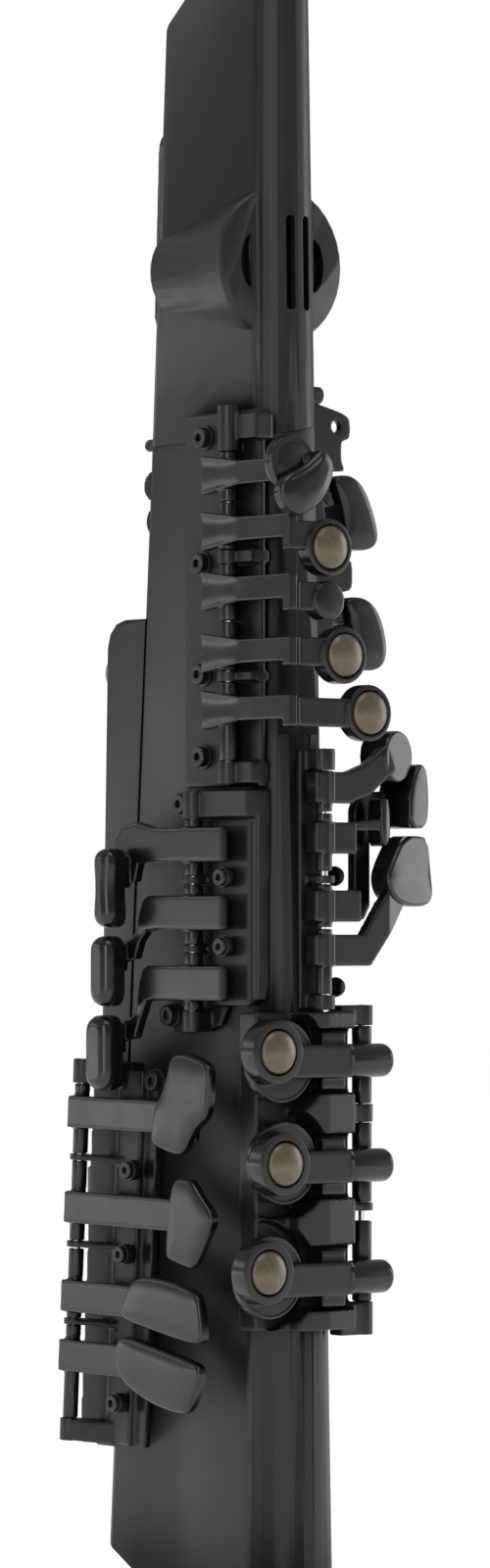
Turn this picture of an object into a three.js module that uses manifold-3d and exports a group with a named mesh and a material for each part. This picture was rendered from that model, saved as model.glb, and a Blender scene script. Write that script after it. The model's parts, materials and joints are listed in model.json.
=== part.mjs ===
// Digital wind controller: a straight slab body with saxophone keywork, a neck and a mouthpiece.
// Millimetres. +Z runs up the body, -Y is the front (the finger pearls face it), -X is the player's right.
// The origin is the middle of the flat bottom end.

import * as THREE from 'three';
import { mergeVertices } from 'three/addons/utils/BufferGeometryUtils.js';
import Module from 'manifold-3d';

const wasm = await Module();
wasm.setup();

// Driving dimensions shared by the whole instrument
const clearance = 0.3; // gap between pieces that seat on each other
const overrun = 5; // how far a cutter runs past the material
const wall = 2.2; // housing wall
const rodRadius = 1.0; // steel hinge rods
const boreRadius = rodRadius + clearance;
const tubeSides = 14;
const boreSides = 10;
const arcSteps = 5; // steps of a small round corner
const smallSteps = 3; // steps of the smallest ones
const degree = Math.PI / 180;

// Materials
const bodyPlastic = { color: 0x3a3839, roughness: 0.55, metalness: 0.0 };
const keyPlastic = { color: 0x1d1c1d, roughness: 0.35, metalness: 0.0 };
const platePlastic = { color: 0x2b2928, roughness: 0.5, metalness: 0.0 };
const pearlFinish = { color: 0xa59a7c, roughness: 0.35, metalness: 0.4 };
const steelFinish = { color: 0xc9c9c6, roughness: 0.25, metalness: 1.0 };
const reedFinish = { color: 0xb79a62, roughness: 0.6, metalness: 0.0 };
const boardFinish = { color: 0x1f4d33, roughness: 0.6, metalness: 0.1 };
const cellFinish = { color: 0x6d6f72, roughness: 0.4, metalness: 0.6 };

// Solid helpers

function toSolid(geometry) {
  const bare = geometry.clone();
  bare.deleteAttribute('normal');
  bare.deleteAttribute('uv');
  const welded = mergeVertices(bare);
  const mesh = new wasm.Mesh({
    numProp: 3,
    vertProperties: new Float32Array(welded.attributes.position.array),
    triVerts: new Uint32Array(welded.index.array),
  });
  return new wasm.Manifold(mesh);
}

function toGeometry(solid) {
  const mesh = solid.getMesh();
  const geometry = new THREE.BufferGeometry();
  geometry.setAttribute('position', new THREE.BufferAttribute(mesh.vertProperties, 3));
  geometry.setIndex(new THREE.BufferAttribute(mesh.triVerts, 1));
  geometry.computeVertexNormals();
  return geometry;
}

function joined(solids) {
  return solids.reduce((sum, solid) => sum.add(solid));
}

function without(solid, cutters) {
  return cutters.reduce((rest, cutter) => rest.subtract(cutter), solid);
}

// A block between two corners
function block(x0, x1, y0, y1, z0, z1) {
  const geometry = new THREE.BoxGeometry(x1 - x0, y1 - y0, z1 - z0);
  geometry.translate((x0 + x1) / 2, (y0 + y1) / 2, (z0 + z1) / 2);
  return toSolid(geometry);
}

// A round bar along Z
function barZ(x, y, radius, z0, z1, sides = tubeSides) {
  const geometry = new THREE.CylinderGeometry(radius, radius, z1 - z0, sides);
  geometry.rotateX(Math.PI / 2);
  geometry.translate(x, y, (z0 + z1) / 2);
  return toSolid(geometry);
}

// A round bar along Y
function barY(x, z, radius, y0, y1, sides = tubeSides) {
  const geometry = new THREE.CylinderGeometry(radius, radius, y1 - y0, sides);
  geometry.translate(x, (y0 + y1) / 2, z);
  return toSolid(geometry);
}

// A round bar along X
function barX(y, z, radius, x0, x1, sides = tubeSides) {
  const geometry = new THREE.CylinderGeometry(radius, radius, x1 - x0, sides);
  geometry.rotateZ(Math.PI / 2);
  geometry.translate((x0 + x1) / 2, y, z);
  return toSolid(geometry);
}

function outline(points) {
  return new THREE.Shape(points.map(([a, b]) => new THREE.Vector2(a, b)));
}

// An outline of [x, y] points carried up Z
function prismZ(points, z0, z1) {
  const geometry = new THREE.ExtrudeGeometry(outline(points), { depth: z1 - z0, bevelEnabled: false });
  geometry.translate(0, 0, z0);
  return toSolid(geometry);
}

// An outline of [x, z] points carried along Y
function prismY(points, y0, y1) {
  const geometry = new THREE.ExtrudeGeometry(outline(points), { depth: y1 - y0, bevelEnabled: false });
  geometry.rotateX(Math.PI / 2);
  geometry.translate(0, y1, 0);
  return toSolid(geometry);
}

// An outline of [y, z] points carried along X
function prismX(points, x0, x1) {
  const geometry = new THREE.ExtrudeGeometry(outline(points), { depth: x1 - x0, bevelEnabled: false });
  geometry.rotateY(Math.PI / 2);
  geometry.rotateX(Math.PI / 2);
  geometry.translate(x0, 0, 0);
  return toSolid(geometry);
}

// Round the corners of a closed outline, each with an arc cut to fit its two sides
function rounded(points, radius, steps = arcSteps) {
  const out = [];
  points.forEach((corner, i) => {
    const here = new THREE.Vector2(...corner);
    const before = new THREE.Vector2(...points[(i + points.length - 1) % points.length]).sub(here);
    const after = new THREE.Vector2(...points[(i + 1) % points.length]).sub(here);
    const half = Math.min(before.length(), after.length()) / 2;
    const reach = Math.min(radius, half * 0.98);
    const start = before.setLength(reach).add(here);
    const end = after.setLength(reach).add(here);
    const curve = new THREE.QuadraticBezierCurve(start, here, end);
    for (let k = 0; k <= steps; k += 1) {
      const point = curve.getPoint(k / steps);
      out.push([point.x, point.y]);
    }
  });
  return out;
}

// Corner points of a rectangle, for rounded()
function rectangle(a0, a1, b0, b1) {
  return [[a0, b0], [a1, b0], [a1, b1], [a0, b1]];
}

// A closed solid through rings of equal count, lowest first
function loft(rings) {
  const count = rings[0].length;
  const positions = rings.flat(2);
  const indices = [];
  for (let ring = 0; ring + 1 < rings.length; ring += 1) {
    for (let i = 0; i < count; i += 1) {
      const a = ring * count + i;
      const b = ring * count + ((i + 1) % count);
      indices.push(a, b, b + count, a, b + count, a + count);
    }
  }
  const flat = rings[0].map(([x, y]) => new THREE.Vector2(x, y));
  const top = (rings.length - 1) * count;
  THREE.ShapeUtils.triangulateShape(flat, []).forEach(([a, b, c]) => {
    indices.push(a, c, b, top + a, top + b, top + c);
  });
  const geometry = new THREE.BufferGeometry();
  geometry.setAttribute('position', new THREE.Float32BufferAttribute(positions, 3));
  geometry.setIndex(indices);
  return toSolid(geometry);
}

// A turned solid about Z from [radius, height] points that start and end on the axis
function turned(profile, sides) {
  const geometry = new THREE.LatheGeometry(profile.map(([r, h]) => new THREE.Vector2(r, h)), sides);
  geometry.rotateX(Math.PI / 2);
  return toSolid(geometry);
}

function moved(solid, x, y, z) {
  return solid.translate([x, y, z]);
}

const instrument = new THREE.Group();

function place(name, solid, finish, parent = instrument, position = [0, 0, 0]) {
  const mesh = new THREE.Mesh(toGeometry(solid), new THREE.MeshStandardMaterial(finish));
  mesh.name = name;
  mesh.position.set(...position);
  parent.add(mesh);
  return mesh;
}

// Posts and arms of the keywork. Each stack's heights are measured up from its own foot, and each
// stack stands on the one below it, so that the seam and the head follow the keys.
const lowerStack = {
  foot: 69.4,
  posts: [
    { low: 80.8, high: 86.2 }, { low: 54.9, high: 59.7 }, { low: 31.2, high: 33.3 }, { low: -2, high: 6.8 },
  ],
  arms: [71.5, 43.5, 13.8],
  top: 13, // from the highest arm to the end of the block
};
const tableStack = {
  step: 0.6, // above the block of the lower stack
  posts: [{ low: 63.9, high: 69.5 }, { low: 33.7, high: 35.7 }, { low: 0, high: 3.9 }],
  arms: [59.25, 45.8, 27.6, 15.8],
};
tableStack.foot = lowerStack.foot + lowerStack.arms[0] + lowerStack.top + tableStack.step;
const sideStack = {
  foot: tableStack.foot,
  posts: [
    { low: 51.1, high: 58.5 }, { low: 33.7, high: 35.5 }, { low: 15.3, high: 17.1 },
    { low: -6.1, high: -0.7 },
  ],
  arms: [44.1, 25.8, 6.95],
};
const upperStack = {
  step: 10, // below the top of the table's plate
  posts: [
    { low: 89.8, high: 102, webLow: 92.8, webHigh: 99.9 },
    { low: 59.7, high: 63.2 },
    { low: 28.2, high: 30.8 },
    { low: 0.7, high: 6.6 },
  ],
  plateDrop: 1, // from the top post to the top of the plate
};
upperStack.foot = tableStack.foot + tableStack.posts[0].high - upperStack.step;

// The same rows with their heights counted from the bottom of the instrument
function raised(level, rows, names = ['low', 'high', 'webLow', 'webHigh']) {
  return rows.map((row) => {
    const out = { ...row };
    names.filter((name) => row[name] !== undefined).forEach((name) => {
      out[name] = row[name] + level;
    });
    return out;
  });
}
function lifted(level, points) {
  return points.map(([a, z]) => [a, z + level]);
}

// The seam between head and body, sloped across the front
const seam = { drop: 6, slope: 0.2 };
seam.height = upperStack.foot + upperStack.posts[0].high - seam.drop;

// Body: a slab with flat sides and a half-round front, narrowing towards the top
const body = {
  headLength: 150, // from the seam to the highest point of the shoulder
  bottomHalfWidth: 13.4,
  topHalfWidth: 8.1,
  bottomFront: -29.2,
  topFront: -21.5,
  bottomBack: 44.2,
  kneeBack: 29.9, // the back line bends a little here
  kneeHeight: 300,
  topBack: 23.6,
  backCorner: 2.4,
  cornerSteps: 2,
  frontSides: 14,
};
body.length = seam.height + body.headLength;

function between(a, b, share) {
  return a + (b - a) * share;
}

function halfWidthAt(z) {
  return between(body.bottomHalfWidth, body.topHalfWidth, z / body.length);
}

function frontAt(z) {
  return between(body.bottomFront, body.topFront, z / body.length);
}

function backAt(z) {
  if (z < body.kneeHeight) return between(body.bottomBack, body.kneeBack, z / body.kneeHeight);
  return between(body.kneeBack, body.topBack, (z - body.kneeHeight) / (body.length - body.kneeHeight));
}

// One section of the body, drawn in by inset on all sides and by frontInset more at the front
function bodyRing(z, inset, frontInset = 0) {
  const half = halfWidthAt(z) - inset;
  const centre = frontAt(z) + halfWidthAt(z) + frontInset;
  const back = backAt(z) - inset;
  const corner = Math.max(body.backCorner - inset, clearance);
  const ring = [];
  for (let i = 0; i <= body.frontSides; i += 1) {
    const angle = Math.PI + (Math.PI * i) / body.frontSides;
    ring.push([half * Math.cos(angle), centre + half * Math.sin(angle), z]);
  }
  for (const [side, first] of [[1, 0], [-1, 90]]) {
    for (let i = 0; i <= body.cornerSteps; i += 1) {
      const angle = (first + (90 * i) / body.cornerSteps) * degree;
      const x = side > 0 ? half - corner : corner - half;
      ring.push([x + corner * Math.cos(angle), back - corner + corner * Math.sin(angle), z]);
    }
  }
  return ring;
}

function bodySlab(z0, z1, inset, frontInset = 0) {
  const heights = [z0, z1];
  if (z0 < body.kneeHeight && z1 > body.kneeHeight) heights.splice(1, 0, body.kneeHeight);
  return loft(heights.map((z) => bodyRing(z, inset, frontInset)));
}

// The body with its running gap, used to cut whatever seats on it
const bodyKeepOut = bodySlab(-overrun, body.length + overrun, -clearance);

function belowSeam(gap) {
  const reach = body.length;
  const rise = seam.slope * reach;
  const level = seam.height + gap;
  const points = [[-reach, -reach], [reach, -reach], [reach, level + rise], [-reach, level - rise]];
  return prismY(points, -reach, reach);
}

// The slanted shoulder that carries the neck, higher at the front
const shoulder = { drop: 39, angle: 40 * degree };
shoulder.backHeight = body.length - shoulder.drop;
shoulder.plane = (drop) => {
  const reach = body.length;
  const geometry = new THREE.BoxGeometry(reach, reach, reach);
  geometry.translate(0, 0, reach / 2 - drop);
  geometry.rotateX(-shoulder.angle);
  geometry.translate(0, backAt(shoulder.backHeight), shoulder.backHeight);
  return toSolid(geometry);
};

// Bottom end: a bevel at the back and a cap let into the shells
const bottomEnd = { bevelHeight: 8.5, bevelDepth: 15, capThickness: 2.4, lipWidth: 1.6 };
const bottomBevel = prismX([
  [body.bottomBack - bottomEnd.bevelDepth, 0],
  [body.bottomBack - bottomEnd.bevelDepth, -overrun],
  [body.bottomBack + overrun, -overrun],
  [body.bottomBack + overrun, bottomEnd.bevelHeight],
  [body.bottomBack, bottomEnd.bevelHeight],
], -body.bottomHalfWidth - overrun, body.bottomHalfWidth + overrun);

// Speaker housing: a cone about Y that stands out of both sides of the head
const pod = {
  rise: 45, // above the seam
  front: -16.1,
  back: 24,
  frontRadius: 21.2,
  backRadius: 13.8,
  rim: 1.2,
  sides: 36,
  holeInner: 10.6,
  holeWide: 3.6,
  holeTall: 14.4,
  holeSteps: 10,
};
pod.height = seam.height + pod.rise;

function podCone(inset) {
  const taper = (pod.frontRadius - pod.backRadius) / (pod.back - pod.front);
  const front = pod.front + inset;
  const back = pod.back - inset;
  const frontRadius = pod.frontRadius - inset * (1 + taper);
  const backRadius = pod.backRadius - inset + taper * inset;
  const rim = Math.max(pod.rim - inset, clearance);
  const profile = [[0, front], [frontRadius - rim, front], [frontRadius, front + rim]];
  profile.push([backRadius, back], [0, back]);
  const cone = toSolid(new THREE.LatheGeometry(
    profile.map(([r, h]) => new THREE.Vector2(r, h)), pod.sides,
  ));
  return moved(cone, 0, 0, pod.height);
}

// Half an oval on each front face, straight towards the body
function podHole(side) {
  const points = [];
  for (let i = 0; i <= pod.holeSteps; i += 1) {
    const angle = (i / pod.holeSteps - 1 / 2) * Math.PI;
    const x = pod.holeInner + pod.holeWide * Math.cos(angle);
    points.push([side * x, pod.height + (pod.holeTall / 2) * Math.sin(angle)]);
  }
  return prismY(side > 0 ? points : points.reverse(), pod.front - overrun, pod.front + wall + overrun);
}

const slot = { width: 2.6, centre: 2.6, below: 13.2, above: 12.3 };
function frontSlot(side) {
  const middle = side * slot.centre;
  const half = slot.width / 2;
  const points = rectangle(middle - half, middle + half, pod.height - slot.below, pod.height + slot.above);
  return prismY(rounded(points, half, smallSteps), body.bottomFront - overrun, pod.front);
}

// The flat set-back behind the left-hand keys
const recess = { depth: 2.8, rise: 14 };
recess.low = upperStack.foot + recess.rise;
const recessCut = () => {
  const front = frontAt(recess.low) - overrun;
  const points = [
    [front, recess.low],
    [frontAt(recess.low) + recess.depth, recess.low],
    [frontAt(seam.height) + recess.depth, body.length],
    [front, body.length],
  ];
  return prismX(points, -body.bottomHalfWidth, body.bottomHalfWidth);
};

// Rear housing sizes, needed here because the body shells open into it
const rear = {
  low: 34.5,
  drop: 49.2, // from the seam to the top of the housing
  bottomBack: 50.8,
  topBack: 49.2,
  corner: 3.2,
  topRound: 7.5,
  roundSteps: 3,
  doorWidthShare: 0.72,
  doorMargin: 7, // below the cells
  doorMarginTop: 9, // above the cells
  doorThickness: 1.6,
};
rear.high = seam.height - rear.drop;
const cells = {
  radius: 7.2, pitch: 13.8, length: 50, rows: 2, columns: 2, depth: 12.2, set: 29.8, strap: 1.2,
};
cells.high = rear.high - cells.set;
cells.low = cells.high - cells.length * cells.rows;
cells.y = rear.bottomBack - cells.depth;
cells.coreShare = 0.4;
rear.doorLow = cells.low - rear.doorMargin;
rear.doorHigh = cells.high + rear.doorMarginTop;
const cellWindow = block(
  -cells.radius - clearance,
  cells.radius + clearance,
  cells.y - 2 * cells.radius,
  rear.bottomBack + overrun,
  cells.low - clearance,
  cells.high + clearance,
);

// The neck leaves square to the shoulder
const neck = {
  boreRadius: 4.2,
  collarRadius: 9.6,
  collarHeight: 7,
  collarEdgeShare: 0.7,
  collarTopShare: 0.86,
  spigotRadius: 6.2,
  spigotDepth: 8,
  straight: 34,
  bendAngle: 62 * degree,
  reach: 40,
  sides: 16,
  steps: 12,
  tenonLength: 18, // straight end inside the mouthpiece
};
const shoulderMiddle = (frontAt(body.length) + backAt(shoulder.backHeight)) / 2;
const neckSeat = [
  0,
  shoulderMiddle,
  shoulder.backHeight + Math.tan(shoulder.angle) * (backAt(shoulder.backHeight) - shoulderMiddle),
];

function alongNeck(solid) {
  const turn = -shoulder.angle / degree;
  return moved(solid.rotate([turn, 0, 0]), ...neckSeat);
}

// Rear control panel with its pocket, buttons and window
const panel = {
  drop: 25.5, // below the back edge of the shoulder
  tall: 57,
  halfWidth: 6.9,
  proud: 3,
  sunk: 1.4,
  floor: 1.6,
  buttonRadius: 2.6,
  lowButtonRise: 12.5,
  highButtonRise: 26.5,
  buttonProud: 1.2,
  buttonTravel: 0.6,
  windowDrop: 4.5,
  windowTall: 15,
  windowHalfWidth: 4,
  windowSunk: 0.6,
};
panel.high = shoulder.backHeight - panel.drop;
panel.low = panel.high - panel.tall;
panel.windowHigh = panel.high - panel.windowDrop;
panel.windowLow = panel.windowHigh - panel.windowTall;

// Main board along the middle of the body, with the breath sensor near its top
const board = {
  thickness: 1.6,
  front: -16,
  back: 14,
  low: 30,
  rise: 15, // past the seam, into the head
  sensorDeep: 3,
  sensorHalfWide: 6,
  sensorDrop: 9,
  sensorTall: 12,
  portRadius: 0.9,
  portTall: 20,
  postRadius: 2.6,
  postInset: 5,
  postDrop: 20,
  postPitch: 125,
};
board.high = seam.height + board.rise;
board.sensorLow = seam.height - board.sensorDrop;
board.sensorHigh = board.sensorLow + board.sensorTall;
board.portHigh = board.sensorHigh + board.portTall;
board.highPost = seam.height - board.postDrop;
board.middlePost = board.highPost - board.postPitch;
const boardSheet = block(
  -board.thickness / 2, board.thickness / 2, board.front, board.back, board.low, board.high,
);
const boardSensor = block(
  0, board.sensorDeep, -board.sensorHalfWide, board.sensorHalfWide, board.sensorLow, board.sensorHigh,
);
const boardPort = barZ(
  board.sensorDeep / 2, 0, board.portRadius, board.sensorHigh - clearance, board.portHigh, 10,
);
place('main_board', joined([boardSheet, boardSensor, boardPort]), boardFinish);
// Posts inside the left body shell that the board is screwed to
const boardPostPlaces = [board.front + board.postInset, board.back - board.postInset].flatMap((y) => [
  [y, board.low + board.postInset],
  [y, board.middlePost],
  [y, board.highPost],
]);

// Head and body shells, each a right and a left half with a thin seam between them
const halfReach = body.length;
const rightHalf = block(-halfReach, -clearance / 2, -halfReach, halfReach, -halfReach, 2 * halfReach);
const leftHalf = block(clearance / 2, halfReach, -halfReach, halfReach, -halfReach, 2 * halfReach);
const neckHole = alongNeck(barZ(0, 0, neck.spigotRadius + clearance, -overrun * 2, overrun, neck.sides));
const panelPocket = block(
  -panel.halfWidth - clearance,
  panel.halfWidth + clearance,
  backAt(panel.high) - panel.sunk,
  rear.bottomBack,
  panel.low - clearance,
  panel.high + clearance,
);

const headOuter = bodySlab(seam.height - overrun * 4, body.length, 0)
  .subtract(shoulder.plane(0))
  .subtract(belowSeam(0))
  .add(podCone(0));
const headInner = bodySlab(0, body.length, wall)
  .subtract(shoulder.plane(wall))
  .subtract(panelInnerWall())
  .add(podCone(wall));
function panelInnerWall() {
  const depth = panel.sunk + wall;
  return block(
    -halfReach,
    halfReach,
    backAt(panel.high) - depth,
    halfReach,
    panel.low - wall,
    panel.high + wall,
  );
}
const headHollow = without(
  headOuter, [headInner, frontSlot(-1), frontSlot(1), podHole(-1), podHole(1), neckHole, panelPocket],
);
const bodyOuter = bodySlab(0, seam.height + overrun * 4, 0)
  .intersect(belowSeam(-clearance))
  .subtract(recessCut())
  .subtract(bottomBevel);
const bodyInner = bodySlab(bottomEnd.capThickness + clearance, body.length, wall, recess.depth);
const capSeat = bodySlab(
  -overrun, bottomEnd.capThickness + 2 * clearance, bottomEnd.lipWidth,
).subtract(bevelInner());
function bevelInner() {
  return moved(bottomBevel, 0, -wall, wall);
}
const bodyHollow = without(bodyOuter, [bodyInner.subtract(bevelInner()), capSeat, cellWindow]);
place('head_shell_right', headHollow.intersect(rightHalf), bodyPlastic);
place('head_shell_left', headHollow.intersect(leftHalf), bodyPlastic);
place('body_shell_right', bodyHollow.intersect(rightHalf), bodyPlastic);
const boardPosts = boardPostPlaces.map(([y, z]) => barX(
  y, z, board.postRadius, board.thickness / 2 + clearance, halfWidthAt(z) - wall / 2,
));
place('body_shell_left', joined([bodyHollow.intersect(leftHalf), ...boardPosts]), bodyPlastic);

const endCap = bodySlab(0, bottomEnd.capThickness, bottomEnd.lipWidth + clearance)
  .subtract(moved(bottomBevel, 0, -wall - clearance, wall));
place('end_cap', endCap, bodyPlastic);

// Rear housing: a tray on the body's back for the cells, closed by a door
function rearBackAt(z) {
  return between(rear.bottomBack, rear.topBack, (z - rear.low) / (rear.high - rear.low));
}
function rearRing(z, inset, drop = 0) {
  const half = halfWidthAt(z) - inset;
  const front = backAt(z) + clearance - (inset > 0 ? overrun : 0);
  const back = rearBackAt(z) - inset - drop;
  const corner = Math.max(rear.corner - inset, clearance);
  const ring = [[-half, front, z], [half, front, z]];
  for (const [side, first] of [[1, 0], [-1, 90]]) {
    for (let i = 0; i <= rear.roundSteps; i += 1) {
      const angle = (first + (90 * i) / rear.roundSteps) * degree;
      const x = side > 0 ? half - corner : corner - half;
      ring.push([x + corner * Math.cos(angle), back - corner + corner * Math.sin(angle), z]);
    }
  }
  return ring;
}
const doorHalfWidth = halfWidthAt(rear.doorHigh) * rear.doorWidthShare;
function doorBlock(grow) {
  return block(
    -doorHalfWidth - grow,
    doorHalfWidth + grow,
    backAt(0),
    rear.bottomBack + overrun,
    rear.doorLow - grow,
    rear.doorHigh + grow,
  );
}
function rearShell(inset) {
  const round = rear.topRound - inset;
  const rings = [rearRing(rear.low + inset, inset)];
  for (let i = 0; i <= rear.roundSteps; i += 1) {
    const angle = (90 * degree * i) / rear.roundSteps;
    rings.push(rearRing(
      rear.high - inset - round * (1 - Math.sin(angle)), inset, round * (1 - Math.cos(angle)),
    ));
  }
  return loft(rings);
}
const rearHousing = without(rearShell(0), [rearShell(wall), doorBlock(clearance)]);
place('rear_housing', rearHousing, bodyPlastic);
const doorSkin = rearShell(0).subtract(rearShell(rear.doorThickness)).intersect(doorBlock(0));
place('battery_door', doorSkin, bodyPlastic);

const cellBars = [];
for (let column = 0; column < cells.columns; column += 1) {
  const y = cells.y - column * cells.pitch;
  cellBars.push(barZ(0, y, cells.radius * cells.coreShare, cells.low, cells.high - cells.strap, boreSides));
  for (let row = 0; row < cells.rows; row += 1) {
    const low = cells.low + row * cells.length;
    cellBars.push(barZ(0, y, cells.radius, low, low + cells.length - cells.strap, 18));
  }
}
const holderEdge = cells.y - cells.pitch * (cells.columns - 1);
cellBars.push(block(
  -cells.radius / 2, cells.radius / 2, holderEdge, cells.y, cells.low, cells.low + cells.strap,
));
place('battery_pack', joined(cellBars), cellFinish);

// Speaker driver inside the cone
const driver = {
  radius: 16.5, frameDepth: 2.4, basketRadius: 11, basketDepth: 8, magnetRadius: 8, magnetDepth: 6, set: 3,
};
const driverFront = pod.front + driver.set;
const driverBack = driverFront + driver.frameDepth + driver.basketDepth;
const driverSolid = joined([
  barY(0, pod.height, driver.radius, driverFront, driverFront + driver.frameDepth, 28),
  barY(0, pod.height, driver.basketRadius, driverFront, driverBack, 24),
  barY(0, pod.height, driver.magnetRadius, driverFront, driverBack + driver.magnetDepth, 24),
]);
place('speaker_driver', driverSolid, keyPlastic);

// Neck: collar on the shoulder, bent tube, cork end
const collarProfile = [
  [neck.spigotRadius + clearance, 0],
  [neck.collarRadius, 0],
  [neck.collarRadius, neck.collarHeight * neck.collarEdgeShare],
  [neck.collarRadius * neck.collarTopShare, neck.collarHeight],
  [neck.spigotRadius + clearance, neck.collarHeight],
];
function ringAboutZ(profile, sides) {
  const closed = [...profile, profile[0]];
  return turned(closed, sides);
}
const collar = moved(ringAboutZ(collarProfile, neck.sides), 0, 0, clearance);
place('neck_collar', alongNeck(collar), keyPlastic);

const bendEnd = neck.bendAngle - shoulder.angle;
const neckStart = new THREE.Vector3(0, 0, -neck.spigotDepth);
const neckRise = new THREE.Vector3(0, 0, neck.collarHeight + neck.spigotDepth);
const neckKnee = new THREE.Vector3(0, 0, neck.straight);
const neckDirection = new THREE.Vector3(0, Math.sin(bendEnd), Math.cos(bendEnd));
const neckTip = neckKnee.clone().addScaledVector(neckDirection, neck.reach);
const neckTenon = neckTip.clone().addScaledVector(neckDirection, neck.tenonLength);
const neckPath = new THREE.CurvePath();
neckPath.add(new THREE.LineCurve3(neckStart, neckRise));
neckPath.add(new THREE.QuadraticBezierCurve3(neckRise, neckKnee, neckTip));
neckPath.add(new THREE.LineCurve3(neckTip, neckTenon));
function circlePath(radius, sides, PathKind) {
  const points = [];
  for (let i = 0; i < sides; i += 1) {
    const angle = (2 * Math.PI * i) / sides;
    points.push(new THREE.Vector2(radius * Math.cos(angle), radius * Math.sin(angle)));
  }
  return new PathKind(points);
}
const neckSection = circlePath(neck.spigotRadius, neck.sides, THREE.Shape);
neckSection.holes.push(circlePath(neck.boreRadius, neck.sides, THREE.Path));
const neckGeometry = new THREE.ExtrudeGeometry(neckSection, {
  steps: neck.steps,
  extrudePath: neckPath,
  bevelEnabled: false,
});
place('neck_tube', alongNeck(toSolid(neckGeometry)), keyPlastic);
function atNeckTip(solid) {
  return moved(solid.rotate([-bendEnd / degree, 0, 0]), ...neckTip.toArray());
}

// Mouthpiece, reed and ligature about the neck's tip axis
const reed = { halfWidth: 6.4, length: 56, heel: 2.8, tip: 0.5, vamp: 30 };
const piece = {
  length: 78,
  shankRadius: 8.2,
  barrelRadius: 9.6,
  tipRadius: 8.6,
  shankLength: 16,
  boreRadius: neck.spigotRadius + clearance,
  boreDepth: 40,
  seat: 3,
  beakLength: 30,
  tipThickness: 2.4,
  tableDepth: 6.6,
  tableMargin: 4, // of the flat table past the reed's butt
  chamberHalfWidth: 5,
  sides: 24,
};
const pieceProfile = [
  [0, 0],
  [piece.shankRadius, 0],
  [piece.shankRadius, piece.shankLength],
  [piece.barrelRadius, piece.shankLength + piece.seat],
  [piece.tipRadius, piece.length],
  [0, piece.length],
];
const beakCut = prismX([
  [-piece.barrelRadius - overrun, piece.length - piece.beakLength],
  [-piece.barrelRadius, piece.length - piece.beakLength],
  [piece.tableDepth - piece.tipThickness, piece.length + clearance],
  [-piece.barrelRadius - overrun, piece.length + clearance],
], -piece.barrelRadius - overrun, piece.barrelRadius + overrun);
const tableCut = block(
  -piece.barrelRadius - overrun,
  piece.barrelRadius + overrun,
  piece.tableDepth,
  piece.barrelRadius + overrun,
  piece.length - reed.length - piece.tableMargin,
  piece.length + overrun,
);
const windowLow = piece.length - piece.beakLength;
const chamber = prismX([
  [0, piece.boreDepth - overrun],
  [piece.tableDepth + overrun, piece.boreDepth],
  [piece.tableDepth + overrun, piece.length - piece.tipThickness],
  [piece.tableDepth - piece.tipThickness / 2, piece.length - piece.tipThickness],
  [0, windowLow],
], -piece.chamberHalfWidth, piece.chamberHalfWidth);
const mouthpieceSolid = without(turned(pieceProfile, piece.sides), [
  barZ(0, 0, piece.boreRadius, -overrun, piece.boreDepth, piece.sides),
  beakCut,
  tableCut,
  chamber,
]);
function onTip(solid) {
  return alongNeck(atNeckTip(solid));
}
place('mouthpiece', onTip(mouthpieceSolid), keyPlastic);

const reedBack = piece.tableDepth + clearance;
const reedLow = piece.length - reed.length;
const reedSolid = prismX([
  [reedBack, reedLow],
  [reedBack, piece.length],
  [reedBack + reed.tip, piece.length],
  [reedBack + reed.heel, piece.length - reed.vamp],
  [reedBack + reed.heel, reedLow],
].reverse(), -reed.halfWidth, reed.halfWidth);
place('reed', onTip(reedSolid), reedFinish);

const ligature = { low: 26, high: 42, wall: 1.2, screwRadius: 1.8, screwReach: 6 };
const ligatureInner = Math.hypot(reed.halfWidth, reedBack + reed.heel) + clearance;
const ligatureOuter = ligatureInner + ligature.wall;
const ligatureMiddle = (ligature.low + ligature.high) / 2;
const ligatureScrew = barX(
  ligatureOuter, ligatureMiddle, ligature.screwRadius, -ligature.screwReach, ligature.screwReach, 12,
);
const ligatureSolid = barZ(0, 0, ligatureOuter, ligature.low, ligature.high, 28)
  .add(ligatureScrew)
  .subtract(barZ(0, 0, ligatureInner, ligature.low - overrun, ligature.high + overrun, 28));
place('ligature', onTip(ligatureSolid), keyPlastic);

// Rear control panel and its two push buttons, square to the head's sloping back
const panelTilt = Math.atan((backAt(panel.low) - backAt(panel.high)) / (panel.high - panel.low)) / degree;
function onHeadBack(solid) {
  return moved(moved(solid, 0, 0, -panel.low).rotate([panelTilt, 0, 0]), 0, backAt(panel.low), panel.low);
}
const panelOutline = rounded(
  rectangle(-panel.halfWidth, panel.halfWidth, panel.low, panel.high), panel.halfWidth, 6,
);
const panelSeat = clearance - panel.sunk;
const buttonHeights = [panel.low + panel.lowButtonRise, panel.low + panel.highButtonRise];
const panelCuts = buttonHeights.map((z) => (
  barY(0, z, panel.buttonRadius + clearance, panelSeat + panel.floor, panel.proud + overrun, 18)
));
panelCuts.push(block(
  -panel.windowHalfWidth,
  panel.windowHalfWidth,
  panel.proud - panel.windowSunk,
  panel.proud + overrun,
  panel.windowLow,
  panel.windowHigh,
));
const panelSolid = without(prismY(panelOutline, panelSeat, panel.proud), panelCuts);
place('control_panel', onHeadBack(panelSolid), keyPlastic);
buttonHeights.forEach((z, i) => {
  const inner = panelSeat + panel.floor + panel.buttonTravel + clearance;
  const button = barY(0, z, panel.buttonRadius, inner, panel.proud + panel.buttonProud, 18);
  place(`button_${i + 1}`, onHeadBack(button), keyPlastic);
});

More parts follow.
